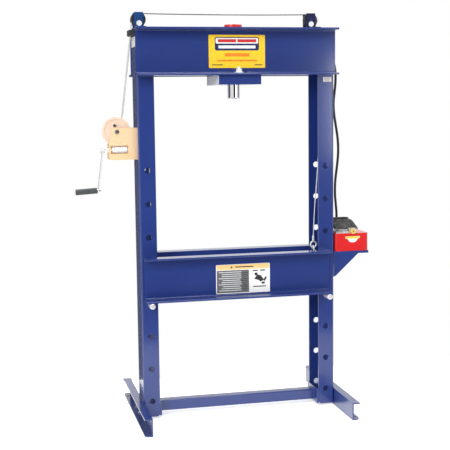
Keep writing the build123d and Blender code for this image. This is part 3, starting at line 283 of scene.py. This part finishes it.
# painted shade: the top cable run above 1.842 m is darkened
CABLE = metal("galvanised_wire", (0.62, 0.63, 0.64), (0.48, 0.49, 0.50), rough=(0.3, 0.5), scale=120.0, metallic=0.8, above=(1.842, (0.11, 0.11, 0.12)))
SPRING = metal("spring_wire", (0.24, 0.24, 0.25), (0.16, 0.16, 0.17), rough=(0.3, 0.5), scale=80.0)
# painted shade: the upward faces of the winch frame, worm bearings and cable drum are dark brown
GOLD = metal("yellow_zinc", (0.95, 0.69, 0.39), (0.93, 0.65, 0.37), rough=(0.38, 0.52), scale=16.0, bumps=0.08, metallic=0.45, tint=(0.95, 0.70, 0.47), tint_max=0.5, painted_top_shade=(0.10, 0.05, 0.035))
GOLD_PALE = metal("yellow_zinc_pale", (0.90, 0.69, 0.50), (0.87, 0.65, 0.47), rough=(0.38, 0.52), scale=16.0, bumps=0.08, metallic=0.45, tint=(0.92, 0.70, 0.60), tint_max=0.5)
CAST = metal("cast_alloy", (0.74, 0.74, 0.72), (0.60, 0.60, 0.59), rough=(0.32, 0.5), scale=90.0, bumps=0.18)
BRASS = metal("machined_brass", (0.95, 0.74, 0.24), (0.90, 0.66, 0.18), rough=(0.22, 0.36), scale=70.0, metallic=0.5)
GRIP = plastic("grip_black", (0.060, 0.064, 0.068), (0.040, 0.043, 0.046), rough=(0.38, 0.55))
GUIDE = plastic("guide_black", (0.008, 0.008, 0.009), (0.005, 0.005, 0.006), rough=(0.55, 0.7))
HOSE_M = plastic("hose_rubber", (0.022, 0.023, 0.023), (0.013, 0.014, 0.014), rough=(0.34, 0.5), grain=260.0, bumps=0.25)
YELLOW = plastic("label_yellow", (0.92, 0.585, 0.03), (0.90, 0.56, 0.025), rough=(0.22, 0.34), grain=90.0, bumps=0.03, coat=0.3)
WHITE = plastic("label_white", (0.86, 0.86, 0.84), (0.80, 0.80, 0.79), rough=(0.25, 0.4), grain=90.0, bumps=0.03, coat=0.2)
NAVY = plastic("label_navy", (0.020, 0.030, 0.12), (0.016, 0.024, 0.10), rough=(0.22, 0.34), grain=90.0, bumps=0.03, coat=0.3)
INK_RED = plastic("label_red", (0.62, 0.03, 0.04), (0.56, 0.025, 0.03), rough=(0.22, 0.34), grain=90.0, bumps=0.03, coat=0.3)
INK_PEACH = plastic("label_peach", (0.92, 0.60, 0.26), (0.90, 0.57, 0.24), rough=(0.25, 0.4), grain=90.0, bumps=0.03, coat=0.2)
INK_ORANGE = plastic("label_orange", (0.80, 0.25, 0.02), (0.76, 0.22, 0.02), rough=(0.22, 0.34), grain=90.0, bumps=0.03, coat=0.3)
INK_GREY = plastic("label_grey", (0.135, 0.14, 0.145), (0.115, 0.12, 0.125), rough=(0.25, 0.4), grain=90.0, bumps=0.03, coat=0.2)
INK_DARK = plastic("label_dark", (0.035, 0.035, 0.04), (0.03, 0.03, 0.034), rough=(0.25, 0.4), grain=90.0, bumps=0.03, coat=0.2)

NODE_MAT = {
    "left_upright": BLUE, "right_upright": BLUE, "front_head_channel": BLUE, "rear_head_channel": BLUE,
    "front_bed_channel": BLUE, "rear_bed_channel": BLUE, "bed_spacers": BLUE, "cylinder_mount_block": BLUE_BLOCK,
    "left_foot": BLUE, "right_foot": BLUE, "crossbar": BLUE, "pump_tray": BLUE, "pulley_brackets": BLUE_DARK,
    "cylinder_body": RED, "cylinder_cap": RED, "oil_reservoir": RED, "reservoir_lid": RED,
    "ram": CHROME, "cylinder_gland": STEEL, "piston": STEEL, "pump_barrel": STEEL, "pump_plunger": STEEL,
    "drum_axle": ZINC, "worm_shaft": STEEL, "crank_spindle": ZINC, "cable_drum": GOLD,
    "mount_block_bolts": WHITE_ZINC, "foot_bolts": ZINC, "winch_bolts": ZINC, "wheel_bolts": ZINC,
    "left_bed_pin": PIN, "right_bed_pin": PIN, "lifting_shackles": WHITE_ZINC, "cable_end_fittings": WHITE_ZINC,
    "pulley_axles": AXLE, "treadle_pin": ZINC, "cylinder_port_fitting": ZINC, "pump_outlet_fitting": ZINC, "oil_plugs": ZINC,
    "winch_frame": GOLD, "worm_wheel": GOLD_PALE, "worm_bearings": GOLD,
    "left_cable": CABLE, "right_cable": CABLE, "left_drop_cable": CABLE, "right_drop_cable": CABLE, "drum_windings": CABLE,
    "left_sheave": SHEAVE, "right_sheave": SHEAVE, "return_spring": SPRING,
    "crank_arm": ARM, "crank_grip": GRIP, "cable_guide": GUIDE, "treadle": BLACK, "pump_head": CAST,
    "air_inlet_fitting": BRASS, "hydraulic_hose": HOSE_M, "rating_plate": YELLOW, "bed_plate": WHITE, "small_plates": WHITE,
}
for name, ob in NODES.items():
    ob.data.materials.clear()
    ob.data.materials.append(NODE_MAT[name])


# ------------------------------------------------------------------ mesh kit
def obj_from_bm(bm, name, mat, smooth=True, angle=35):
    me = bpy.data.meshes.new(name)
    bm.normal_update()
    bm.to_mesh(me)
    bm.free()
    ob = bpy.data.objects.new(name, me)
    scene.collection.objects.link(ob)
    me.materials.append(mat)
    if smooth:
        for p in me.polygons:
            p.use_smooth = True
        me.set_sharp_from_angle(angle=math.radians(angle))
    return ob


def frame_along(pts):
    """Parallel-transported frames along a list of points."""
    n = len(pts)
    tans = []
    for i in range(n):
        a, b = pts[max(0, i - 1)], pts[min(n - 1, i + 1)]
        tans.append((b - a).normalized())
    ref = Vector((0, 1, 0))
    if abs(tans[0].dot(ref)) > 0.9:
        ref = Vector((1, 0, 0))
    nrm = (ref - tans[0] * ref.dot(tans[0])).normalized()
    out = []
    for t in tans:
        nrm = (nrm - t * nrm.dot(t)).normalized()
        out.append((t, nrm, t.cross(nrm)))
    return out


def resample(pts, step):
    acc = [0.0]
    for a, b in zip(pts, pts[1:]):
        acc.append(acc[-1] + (b - a).length)
    total = acc[-1]
    n = max(2, int(round(total / step)))
    out, j = [], 0
    for i in range(n + 1):
        s = total * i / n
        while j < len(acc) - 2 and acc[j + 1] < s:
            j += 1
        seg = acc[j + 1] - acc[j]
        t = 0 if seg == 0 else (s - acc[j]) / seg
        out.append(pts[j].lerp(pts[j + 1], max(0.0, min(1.0, t))))
    return out, total


def add_tube(bm, pts, radius, sides, cap=True):
    fr = frame_along(pts)
    rings = []
    for i, p in enumerate(pts):
        t, a, b = fr[i]
        r = radius[i] if isinstance(radius, list) else radius
        rings.append([bm.verts.new(p + (a * math.cos(2 * math.pi * k / sides) + b * math.sin(2 * math.pi * k / sides)) * r) for k in range(sides)])
    for ra, rb in zip(rings, rings[1:]):
        for k in range(sides):
            bm.faces.new((ra[k], ra[(k + 1) % sides], rb[(k + 1) % sides], rb[k]))
    if cap:
        bm.faces.new(list(reversed(rings[0])))
        bm.faces.new(rings[-1])


def rope(name, pts, dia, mat, strands=6, lay=0.036, step=0.004):
    """A wire rope: strands laid round a core along a path."""
    path, total = resample(pts, step)
    fr = frame_along(path)
    rs = dia / 2 * 0.355
    rc = dia / 2 - rs
    bm = bmesh.new()
    for s in range(strands):
        line = []
        for i, p in enumerate(path):
            d = total * i / (len(path) - 1)
            a = 2 * math.pi * (s / strands + d / lay)
            _, n1, n2 = fr[i]
            line.append(p + (n1 * math.cos(a) + n2 * math.sin(a)) * rc)
        add_tube(bm, line, rs, 6)
    add_tube(bm, path, rc * 0.9, 6)
    return obj_from_bm(bm, name, mat, angle=60)


def bezier_smooth(pts, n=24):
    """Catmull-Rom through the points."""
    out = []
    P = [pts[0] + (pts[0] - pts[1])] + list(pts) + [pts[-1] + (pts[-1] - pts[-2])]
    for i in range(1, len(P) - 2):
        p0, p1, p2, p3 = P[i - 1], P[i], P[i + 1], P[i + 2]
        for k in range(n):
            t = k / n
            out.append(0.5 * ((2 * p1) + (p2 - p0) * t + (2 * p0 - 5 * p1 + 4 * p2 - p3) * t * t + (3 * p1 - p0 - 3 * p2 + p3) * t ** 3))
    out.append(pts[-1].copy())
    return out


def lathe(bm, origin, axis, profile, sides, ref=None, skip=None, phase=0.0):
    """Revolve (distance along axis, radius) pairs; radius may be a function of the angle."""
    axis = Vector(axis).normalized()
    ref = Vector(ref) if ref else (Vector((0, 0, 1)) if abs(axis.z) < 0.9 else Vector((1, 0, 0)))
    a = (ref - axis * ref.dot(axis)).normalized()
    b = axis.cross(a)
    rings = []
    for d, r in profile:
        ring = []
        for k in range(sides):
            th = 2 * math.pi * k / sides + phase
            rr = r(th) if callable(r) else r
            ring.append(bm.verts.new(Vector(origin) + axis * d + (a * math.cos(th) + b * math.sin(th)) * rr))
        rings.append(ring)
    for ra, rb in zip(rings, rings[1:]):
        for k in range(sides):
            bm.faces.new((ra[k], ra[(k + 1) % sides], rb[(k + 1) % sides], rb[k]))
    return rings


def cap_rings(bm, rings):
    bm.faces.new(list(reversed(rings[0])))
    bm.faces.new(rings[-1])


# ------------------------------------------------------------------ hydraulic hose: a free cord between two fittings
HOSE = [
    (530.0, 86.0, 878.0), (530.0, 86.0, 906.0), (526.0, 83.5, 944.0), (518.5, 78.0, 1000.0), (517.0, 70.5, 1064.0),
    (524.0, 65.0, 1130.0), (531.0, 63.5, 1196.0), (529.5, 63.0, 1262.0), (520.0, 64.5, 1326.0), (510.0, 66.0, 1386.0),
    (507.0, 67.0, 1440.0), (512.5, 66.0, 1492.0), (517.0, 63.0, 1540.0), (515.5, 59.0, 1585.0), (508.0, 55.0, 1625.0),
    (491.0, 51.0, 1660.0), (463.0, 48.0, 1685.0), (427.0, 45.5, 1701.0), (384.0, 42.5, 1709.0), (330.0, 38.0, 1712.0),
    (268.0, 29.0, 1711.0), (205.0, 15.0, 1708.0), (158.0, 4.0, 1705.0), (118.0, 0.0, 1704.0), (87.0, 0.0, 1704.0),
]
hc = bpy.data.curves.new("hydraulic_hose_line", "CURVE")
hc.dimensions = "3D"
sp = hc.splines.new("NURBS")
sp.points.add(len(HOSE) - 1)
for p, q in zip(sp.points, HOSE):
    p.co = (*mm(*q), 1.0)
sp.order_u = 3
sp.use_endpoint_u = True
sp.resolution_u = 12
hc.resolution_u = 12
hc.bevel_depth = 0.006
hc.bevel_resolution = 6
hc.use_fill_caps = True
hc.materials.append(HOSE_M)
hose = bpy.data.objects.new("hose", hc)
scene.collection.objects.link(hose)
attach(hose, "frame")
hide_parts("hydraulic_hose")

# crimped ferrules with rolled grooves over the ends of the hose
for nm, o, ax, node in (("hose_ferrule_pump", mm(530, 86, 860), (0, 0, 1), "pump"), ("hose_ferrule_cylinder", mm(67, 0, 1704), (1, 0, 0), "cyl")):
    bm = bmesh.new()
    prof = [(0.0, 0.0083), (0.0, 0.0092), (0.001, 0.0098)]
    for k in range(4):
        z = 0.002 + k * 0.006
        prof += [(z, 0.0099), (z + 0.0035, 0.0099), (z + 0.0042, 0.0090), (z + 0.0052, 0.0090)]
    prof += [(0.0262, 0.0097), (0.0275, 0.0090), (0.028, 0.0063)]
    rings = lathe(bm, o, ax, prof, 40)
    fr_ = obj_from_bm(bm, nm, ZINC)
    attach(fr_, "frame")

# ------------------------------------------------------------------ lifting cables
SHZ, SLX, SRX, SR = 1.823, -0.439, 0.366, 0.027
DX, DZ, WR = -0.551, 1.325, 0.0225
RIGHT_DROP = [(393.0, 1822.8), (400.0, 1690.0), (407.5, 1540.0), (411.0, 1380.0), (407.0, 1220.0), (397.0, 1070.0), (385.5, 930.0), (380.0, 814.0)]
LEFT_DROP = [(-412.0, 1822.9), (-394.0, 814.0)]


def tangent():
    dx, dz = SLX - DX, SHZ - DZ
    L = math.hypot(dx, dz)
    ux, uz = dx / L, dz / L
    s = (WR + SR) / L
    c = math.sqrt(1 - s * s)
    nx, nz = uz * c + ux * s, -ux * c + uz * s
    return (DX + nx * WR, DZ + nz * WR), (SLX - nx * SR, SHZ - nz * SR)


def arc(cx, cz, r, a0, a1, y, n):
    return [Vector((cx + r * math.cos(a0 + (a1 - a0) * i / n), y, cz + r * math.sin(a0 + (a1 - a0) * i / n))) for i in range(n + 1)]


T0, T1 = tangent()


def lead(y, top):
    a0 = math.atan2(T0[1] - DZ, T0[0] - DX)
    pts = arc(DX, DZ, WR, a0 - math.radians(290), a0, y, 60)
    pts.append(Vector((T1[0], y, T1[1])))
    a = math.atan2(T1[1] - SHZ, T1[0] - SLX)
    if a < 0:
        a += 2 * math.pi
    if top:
        pts += arc(SLX, SHZ, SR, a, math.pi / 2, y, 20)[1:]
        # the long run sags a little between the pulleys
        n = 30
        for i in range(1, n):
            t = i / n
            pts.append(Vector((SLX + (SRX - SLX) * t, y, SHZ + SR - 0.0035 * 4 * t * (1 - t))))
        pts += arc(SRX, SHZ, SR, math.pi / 2, 0, y, 20)
    else:
        pts += arc(SLX, SHZ, SR, a, 0, y, 30)[1:]
    return pts


for nm, y, top in (("right_cable", -0.011, True), ("left_cable", 0.011, False)):
    ob = rope(nm + "_rope", lead(y, top), 0.0049, CABLE)
    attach(ob, "frame")
    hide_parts(nm)

for nm, pts, y in (("right_drop_cable", RIGHT_DROP, -0.011), ("left_drop_cable", LEFT_DROP, 0.011)):
    P = [Vector((x / 1000, y, z / 1000)) for x, z in pts]
    if len(P) > 2:
        P = bezier_smooth(P)
    ob = rope(nm + "_rope", P, 0.0049, CABLE_PAINTED_LIGHT)
    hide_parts(nm)
    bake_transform(ob)

# ------------------------------------------------------------------ crank grip: ribbed, with flutes and a domed end
GT = math.radians(3.3)
GDIR = Vector((-math.cos(GT), 0, -math.sin(GT)))
ARM1 = mm(-638.5, -27.0, 1062.0)


def flute(base, depth):
    def f(th):
        return base - depth * max(0.0, math.cos(4 * th)) ** 6
    return f


bm = bmesh.new()
prof = [(0.0060, 0.0052), (0.0060, 0.0118), (0.0070, 0.0132), (0.0085, 0.0139), (0.0120, 0.0139), (0.0130, 0.0128)]
z = 0.0145
while z < 0.0905:
    prof += [(z, flute(0.0129, 0.0016)), (z + 0.0008, flute(0.0138, 0.0016)), (z + 0.0034, flute(0.0138, 0.0016)), (z + 0.0042, flute(0.0129, 0.0016))]
    z += 0.0056
prof += [(0.0950, 0.0130), (0.0960, 0.0139), (0.0995, 0.0139), (0.1010, 0.0132), (0.1022, 0.0118), (0.1025, 0.0095), (0.1025, 0.0052)]
lathe(bm, ARM1, GDIR, prof, 72)
grip = obj_from_bm(bm, "crank_grip_ribbed", GRIP)
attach(grip, "grip")
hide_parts("crank_grip")

# ------------------------------------------------------------------ worm with a real helical thread
bm = bmesh.new()
seg, length, pitch = 240, 0.066, 0.0065
prev = None
x0 = -0.5705
N = int(length / pitch * 48)
core = [(0.0, 0.006), (0.0, 0.0119), (0.0006, 0.0125), (length - 0.0006, 0.0125), (length, 0.0119), (length, 0.006)]
lathe(bm, (x0, -0.027, 1.244), (1, 0, 0), core, 48)
shaft = [(-0.055, 0.0), (-0.055, 0.0054), (-0.0544, 0.006), (0.0, 0.006)]
lathe(bm, (x0, -0.027, 1.244), (1, 0, 0), shaft, 32)
shaft = [(length, 0.006), (0.0838, 0.006), (0.0844, 0.0054), (0.0844, 0.0)]
lathe(bm, (x0, -0.027, 1.244), (1, 0, 0), shaft, 32)
ring_prev = None
for i in range(N + 1):
    th = 2 * math.pi * i / 48
    xc = x0 + 0.0012 + (length - 0.0062) * i / N
    grow = min(1.0, i / 12, (N - i) / 12)
    R0, R1 = 0.0123, 0.0124 + 0.0030 * grow
    d = Vector((0, math.cos(th), math.sin(th)))
    c = Vector((0, -0.027, 1.244))
    ring = [bm.verts.new(c + Vector((xc + dx, 0, 0)) + d * r) for dx, r in ((0.0, R0), (0.0012, R1), (0.0030, R1), (0.0042, R0))]
    if ring_prev:
        for k in range(3):
            bm.faces.new((ring_prev[k], ring_prev[k + 1], ring[k + 1], ring[k]))
        bm.faces.new((ring_prev[3], ring_prev[0], ring[0], ring[3]))
    else:
        bm.faces.new(ring)
    ring_prev = ring
bm.faces.new(list(reversed(ring_prev)))
bmesh.ops.recalc_face_normals(bm, faces=bm.faces)
worm = obj_from_bm(bm, "worm_thread", WHITE_ZINC)
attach(worm, "crank")
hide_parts("worm_shaft")


# ------------------------------------------------------------------ printed panels on the plates, plain shapes only
def rrect(cx, cz, w, h, r, n=6):
    pts = []
    for sx, sz, a0 in ((1, -1, -90), (1, 1, 0), (-1, 1, 90), (-1, -1, 180)):
        ox, oz = cx + sx * (w / 2 - r), cz + sz * (h / 2 - r)
        for k in range(n + 1):
            a = math.radians(a0 + 90 * k / n)
            pts.append((ox + r * math.cos(a), oz + r * math.sin(a)))
    return pts


def decal(bm, pts, y, t=0.00025):
    """A thin printed layer facing the front, from y towards the viewer."""
    back = [bm.verts.new(mm(x, 0, z) + Vector((0, y, 0))) for x, z in pts]
    front = [bm.verts.new(mm(x, 0, z) + Vector((0, y - t, 0))) for x, z in pts]
    bm.faces.new(front)
    bm.faces.new(list(reversed(back)))
    n = len(pts)
    for k in range(n):
        bm.faces.new((back[k], back[(k + 1) % n], front[(k + 1) % n], front[k]))


def decals(name, mat, body, y, shapes):
    bm = bmesh.new()
    for s in shapes:
        decal(bm, s, y)
    bmesh.ops.recalc_face_normals(bm, faces=bm.faces)
    ob = obj_from_bm(bm, name, mat, smooth=False)
    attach(ob, body)
    return ob


YP = -0.0832
PX, PZ = -2.0, 1678.0
decals("rating_frame", NAVY, "frame", YP, [rrect(PX, PZ + 34, 206, 60, 9)])
decals("rating_upper_band", WHITE, "frame", YP - 0.00025, [rrect(PX, PZ + 47.5, 198, 25, 6)])
decals("rating_upper_mark", INK_RED, "frame", YP - 0.0005, [rrect(PX - 46, PZ + 47.5, 84, 14, 2), rrect(PX + 46, PZ + 47.5, 88, 14, 2)])
decals("rating_lower_mark", WHITE, "frame", YP - 0.00025, [rrect(PX, PZ + 20.0, 172, 13, 2)])
decals("rating_stripes", INK_ORANGE, "frame", YP, [rrect(PX, PZ - 15, 116, 15, 4), rrect(PX, PZ - 41, 186, 7, 2)])
decals("rating_foot_lines", INK_DARK, "frame", YP, [rrect(PX - 92, PZ - 60, 52, 4, 1), rrect(PX + 100, PZ - 60, 36, 4, 1)])

YB = -0.0852
BX, BZ = 15.0, 637.5
decals("bed_header", INK_PEACH, "bed", YB, [rrect(BX, BZ + 54.5, 251, 23, 2)])
decals("bed_header_mark", INK_DARK, "bed", YB - 0.00025, [rrect(BX + 6, BZ + 55, 88, 5, 2), [(BX - 62, BZ + 50), (BX - 48, BZ + 50), (BX - 55, BZ + 60)]])
decals("bed_text_panel", INK_GREY, "bed", YB, [rrect(BX - 48.5, BZ - 12, 153, 105, 2)])
lines = [rrect(BX - 62 + (6 if k % 3 else 0), BZ + 32 - 9.5 * k, 108 - (14 if k % 3 else 0) - (10 if k in (4, 7) else 0), 2.6, 0.8) for k in range(10)]
decals("bed_lines", WHITE, "bed", YB - 0.00025, lines)
dark = [rrect(BX + 6, BZ + 27 - 9.5 * k, 40 - 9 * (k % 3), 2.8, 0.8) for k in range(9)]
decals("bed_lines_dark", INK_DARK, "bed", YB - 0.00025, dark)
decals("bed_picture_panel", WHITE, "bed", YB, [rrect(BX + 78, BZ - 12, 92, 105, 2)])
decals("bed_picture", INK_DARK, "bed", YB - 0.00025, [
    [(BX + 52, BZ - 4), (BX + 70, BZ + 16), (BX + 86, BZ + 10), (BX + 100, BZ - 12), (BX + 84, BZ - 18), (BX + 72, BZ - 10)],
    rrect(BX + 62, BZ + 18, 15, 15, 7.4), rrect(BX + 58, BZ + 35, 24, 6, 1), rrect(BX + 94, BZ + 35, 24, 6, 1), [(BX + 96, BZ - 10), (BX + 108, BZ + 6), (BX + 114, BZ + 2), (BX + 104, BZ - 18)], rrect(BX + 78, BZ - 40, 62, 5, 2), rrect(BX + 96, BZ - 24, 14, 10, 2)])
decals("badge_band", YELLOW, "frame", -0.0755, [[(520.5, 811), (589.5, 811), (589.5, 804.5), (582, 801.5), (528, 801.5), (520.5, 804.5)]])
decals("tag_lines", INK_GREY, "frame", -0.0768, [rrect(428.5, 1556 - 5 * k, 30 - 4 * (k % 2), 1.6, 0.5) for k in range(4)])


# ------------------------------------------------------------------ weld beads
def bead(bm, a, b, width, seed, n_per_m=900):
    a, b = Vector(a) / 1000, Vector(b) / 1000
    L = (b - a).length
    n = max(8, int(L * n_per_m))
    pts, rad = [], []
    for i in range(n + 1):
        t = i / n
        ph = i * 0.9 + seed
        pts.append(a.lerp(b, t))
        edge = min(1.0, i / 3, (n - i) / 3)
        rad.append(width / 1000 * (0.86 + 0.12 * math.sin(ph * 2.1) + 0.06 * math.sin(ph * 5.3 + seed)) * (0.35 + 0.65 * edge))
    add_tube(bm, pts, rad, 8)


bm = bmesh.new()
k = 0
for sx in (-1, 1):
    for sy in (-1, 1):
        k += 1
        # head channels against the uprights' flanges
        bead(bm, (sx * 384, sy * 76.4, 1573), (sx * 384, sy * 76.4, 1583), 2.4, k)
        bead(bm, (sx * 386, sy * 77.0, 1570.6), (sx * 455, sy * 77.0, 1570.6), 2.6, k)
        # crossbar end plates
        bead(bm, (sx * 384, sy * 75.2, 14), (sx * 384, sy * 75.2, 80), 2.4, k)
        bead(bm, (sx * 376, sy * 25.5, 22), (sx * 376, sy * 25.5, 66), 2.2, k)
    bead(bm, (sx * 376, -22, 69.4), (sx * 376, 22, 69.4), 2.2, k)
    # uprights on the feet
    bead(bm, (sx * 460.4, -74, 80.4), (sx * 460.4, 74, 80.4), 2.6, k)
for y in (-76.5, 75.5):
    bead(bm, (461, y, 624), (461, y, 736), 2.4, 3.3)
bead(bm, (461, -72, 742.6), (461, 120, 742.6), 2.2, 5.1)
for cx, w in ((-439, 42), (365, 44)):
    for yc in (-27.8, -22.2, 22.2, 27.8):
        bead(bm, (cx - w / 2 + 2, yc, 1788.5), (cx + w / 2 - 2, yc, 1788.5), 1.6, yc)
    for ye in (-108, 108):
        bead(bm, (cx - w / 2 + 1, ye, 1783.8), (cx + w / 2 - 1, ye, 1783.8), 1.8, ye)
welds = obj_from_bm(bm, "frame_welds", BLUE)
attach(welds, "frame")

bm = bmesh.new()
for sx in (-1, 1):
    xi = -7 + sx * 367
    for sy in (-1, 1):
        for dx in (-9.5, 9.5):
            bead(bm, (xi + dx, sy * 77.5, 604), (xi + dx, sy * 77.5, 714), 2.0, sx + dx)
bw = obj_from_bm(bm, "bed_welds", BLUE)
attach(bw, "bed")


# ------------------------------------------------------------------ floor, light, world
def plane(name, x0, x1, y0, y1, z, mat):
    bm = bmesh.new()
    bm.faces.new([bm.verts.new((x, y, z)) for x, y in ((x0, y0), (x1, y0), (x1, y1), (x0, y1))])
    return obj_from_bm(bm, name, mat, smooth=False)


fm, fnt, fbs = new_mat("floor_white")
fbs.inputs["Base Color"].default_value = (0.82, 0.82, 0.82, 1)
fbs.inputs["Emission Color"].default_value = (1.0, 1.0, 1.0, 1)
fbs.inputs["Emission Strength"].default_value = 0.55
fbs.inputs["Roughness"].default_value = 0.9
fbs.inputs["Specular IOR Level"].default_value = 0.1
floor = plane("floor", -3.0, 3.0, -1.6, 0.62, -0.0005, fm)

w = bpy.data.worlds.new("studio")
scene.world = w
w.use_nodes = True
wn = w.node_tree
bg = wn.nodes["Background"]
bg.inputs["Strength"].default_value = 1.0
# a studio: white behind, a dark flag behind and to the left, dark in front with one pale card to the right of the camera
wtc = wn.nodes.new("ShaderNodeTexCoord")
wsx = wn.nodes.new("ShaderNodeSeparateXYZ")
wn.links.new(wtc.outputs["Generated"], wsx.inputs["Vector"])
ang = math_node(wn, "ARCTAN2", wsx.outputs["X"], math_node(wn, "MULTIPLY", wsx.outputs["Y"], -1.0))
wr = wn.nodes.new("ShaderNodeValToRGB")
wn.links.new(remap(wn, ang, -math.pi, math.pi, 0.0, 1.0), wr.inputs["Fac"])
cr = wr.color_ramp
stops = [(0.0, 1.0), (0.004, 1.0), (0.007, 0.02), (0.036, 0.02), (0.042, 1.0), (0.12, 1.0), (0.14, 0.22), (0.24, 0.22),
         (0.30, 1.0), (0.455, 1.0), (0.472, 0.04), (0.568, 0.04), (0.60, 0.85), (0.74, 0.9), (0.80, 1.0), (1.0, 1.0)]
while len(cr.elements) < len(stops):
    cr.elements.new(0.5)
for e, (p, v) in zip(cr.elements, stops):
    e.position = p
    e.color = (v, v, v, 1)
lp = wn.nodes.new("ShaderNodeLightPath")
wn.links.new(mix_rgb(wn, lp.outputs["Is Camera Ray"], wr.outputs["Color"], (1.0, 1.0, 1.0)), bg.inputs["Color"])


def area(name, loc, target, size, power, size_y=None):
    ld = bpy.data.lights.new(name, "AREA")
    ld.energy = power
    ld.size = size
    if size_y:
        ld.shape = "RECTANGLE"
        ld.size_y = size_y
    ob = bpy.data.objects.new(name, ld)
    scene.collection.objects.link(ob)
    ob.location = loc
    d = Vector(target) - Vector(loc)
    ob.rotation_euler = d.to_track_quat("-Z", "Y").to_euler()
    return ob


area("key", (-3.6, -4.2, 3.2), (0, 0, 0.9), 1.8, 190)
area("card", (2.38, -4.70, 1.42), (0.47, 0, 1.42), 0.62, 20, 0.95)
area("front_high", (0.9, -4.6, 5.2), (0, 0, 1.0), 1.6, 110)
area("top", (0, 0.3, 4.2), (0, 0, 0.9), 3.0, 90)
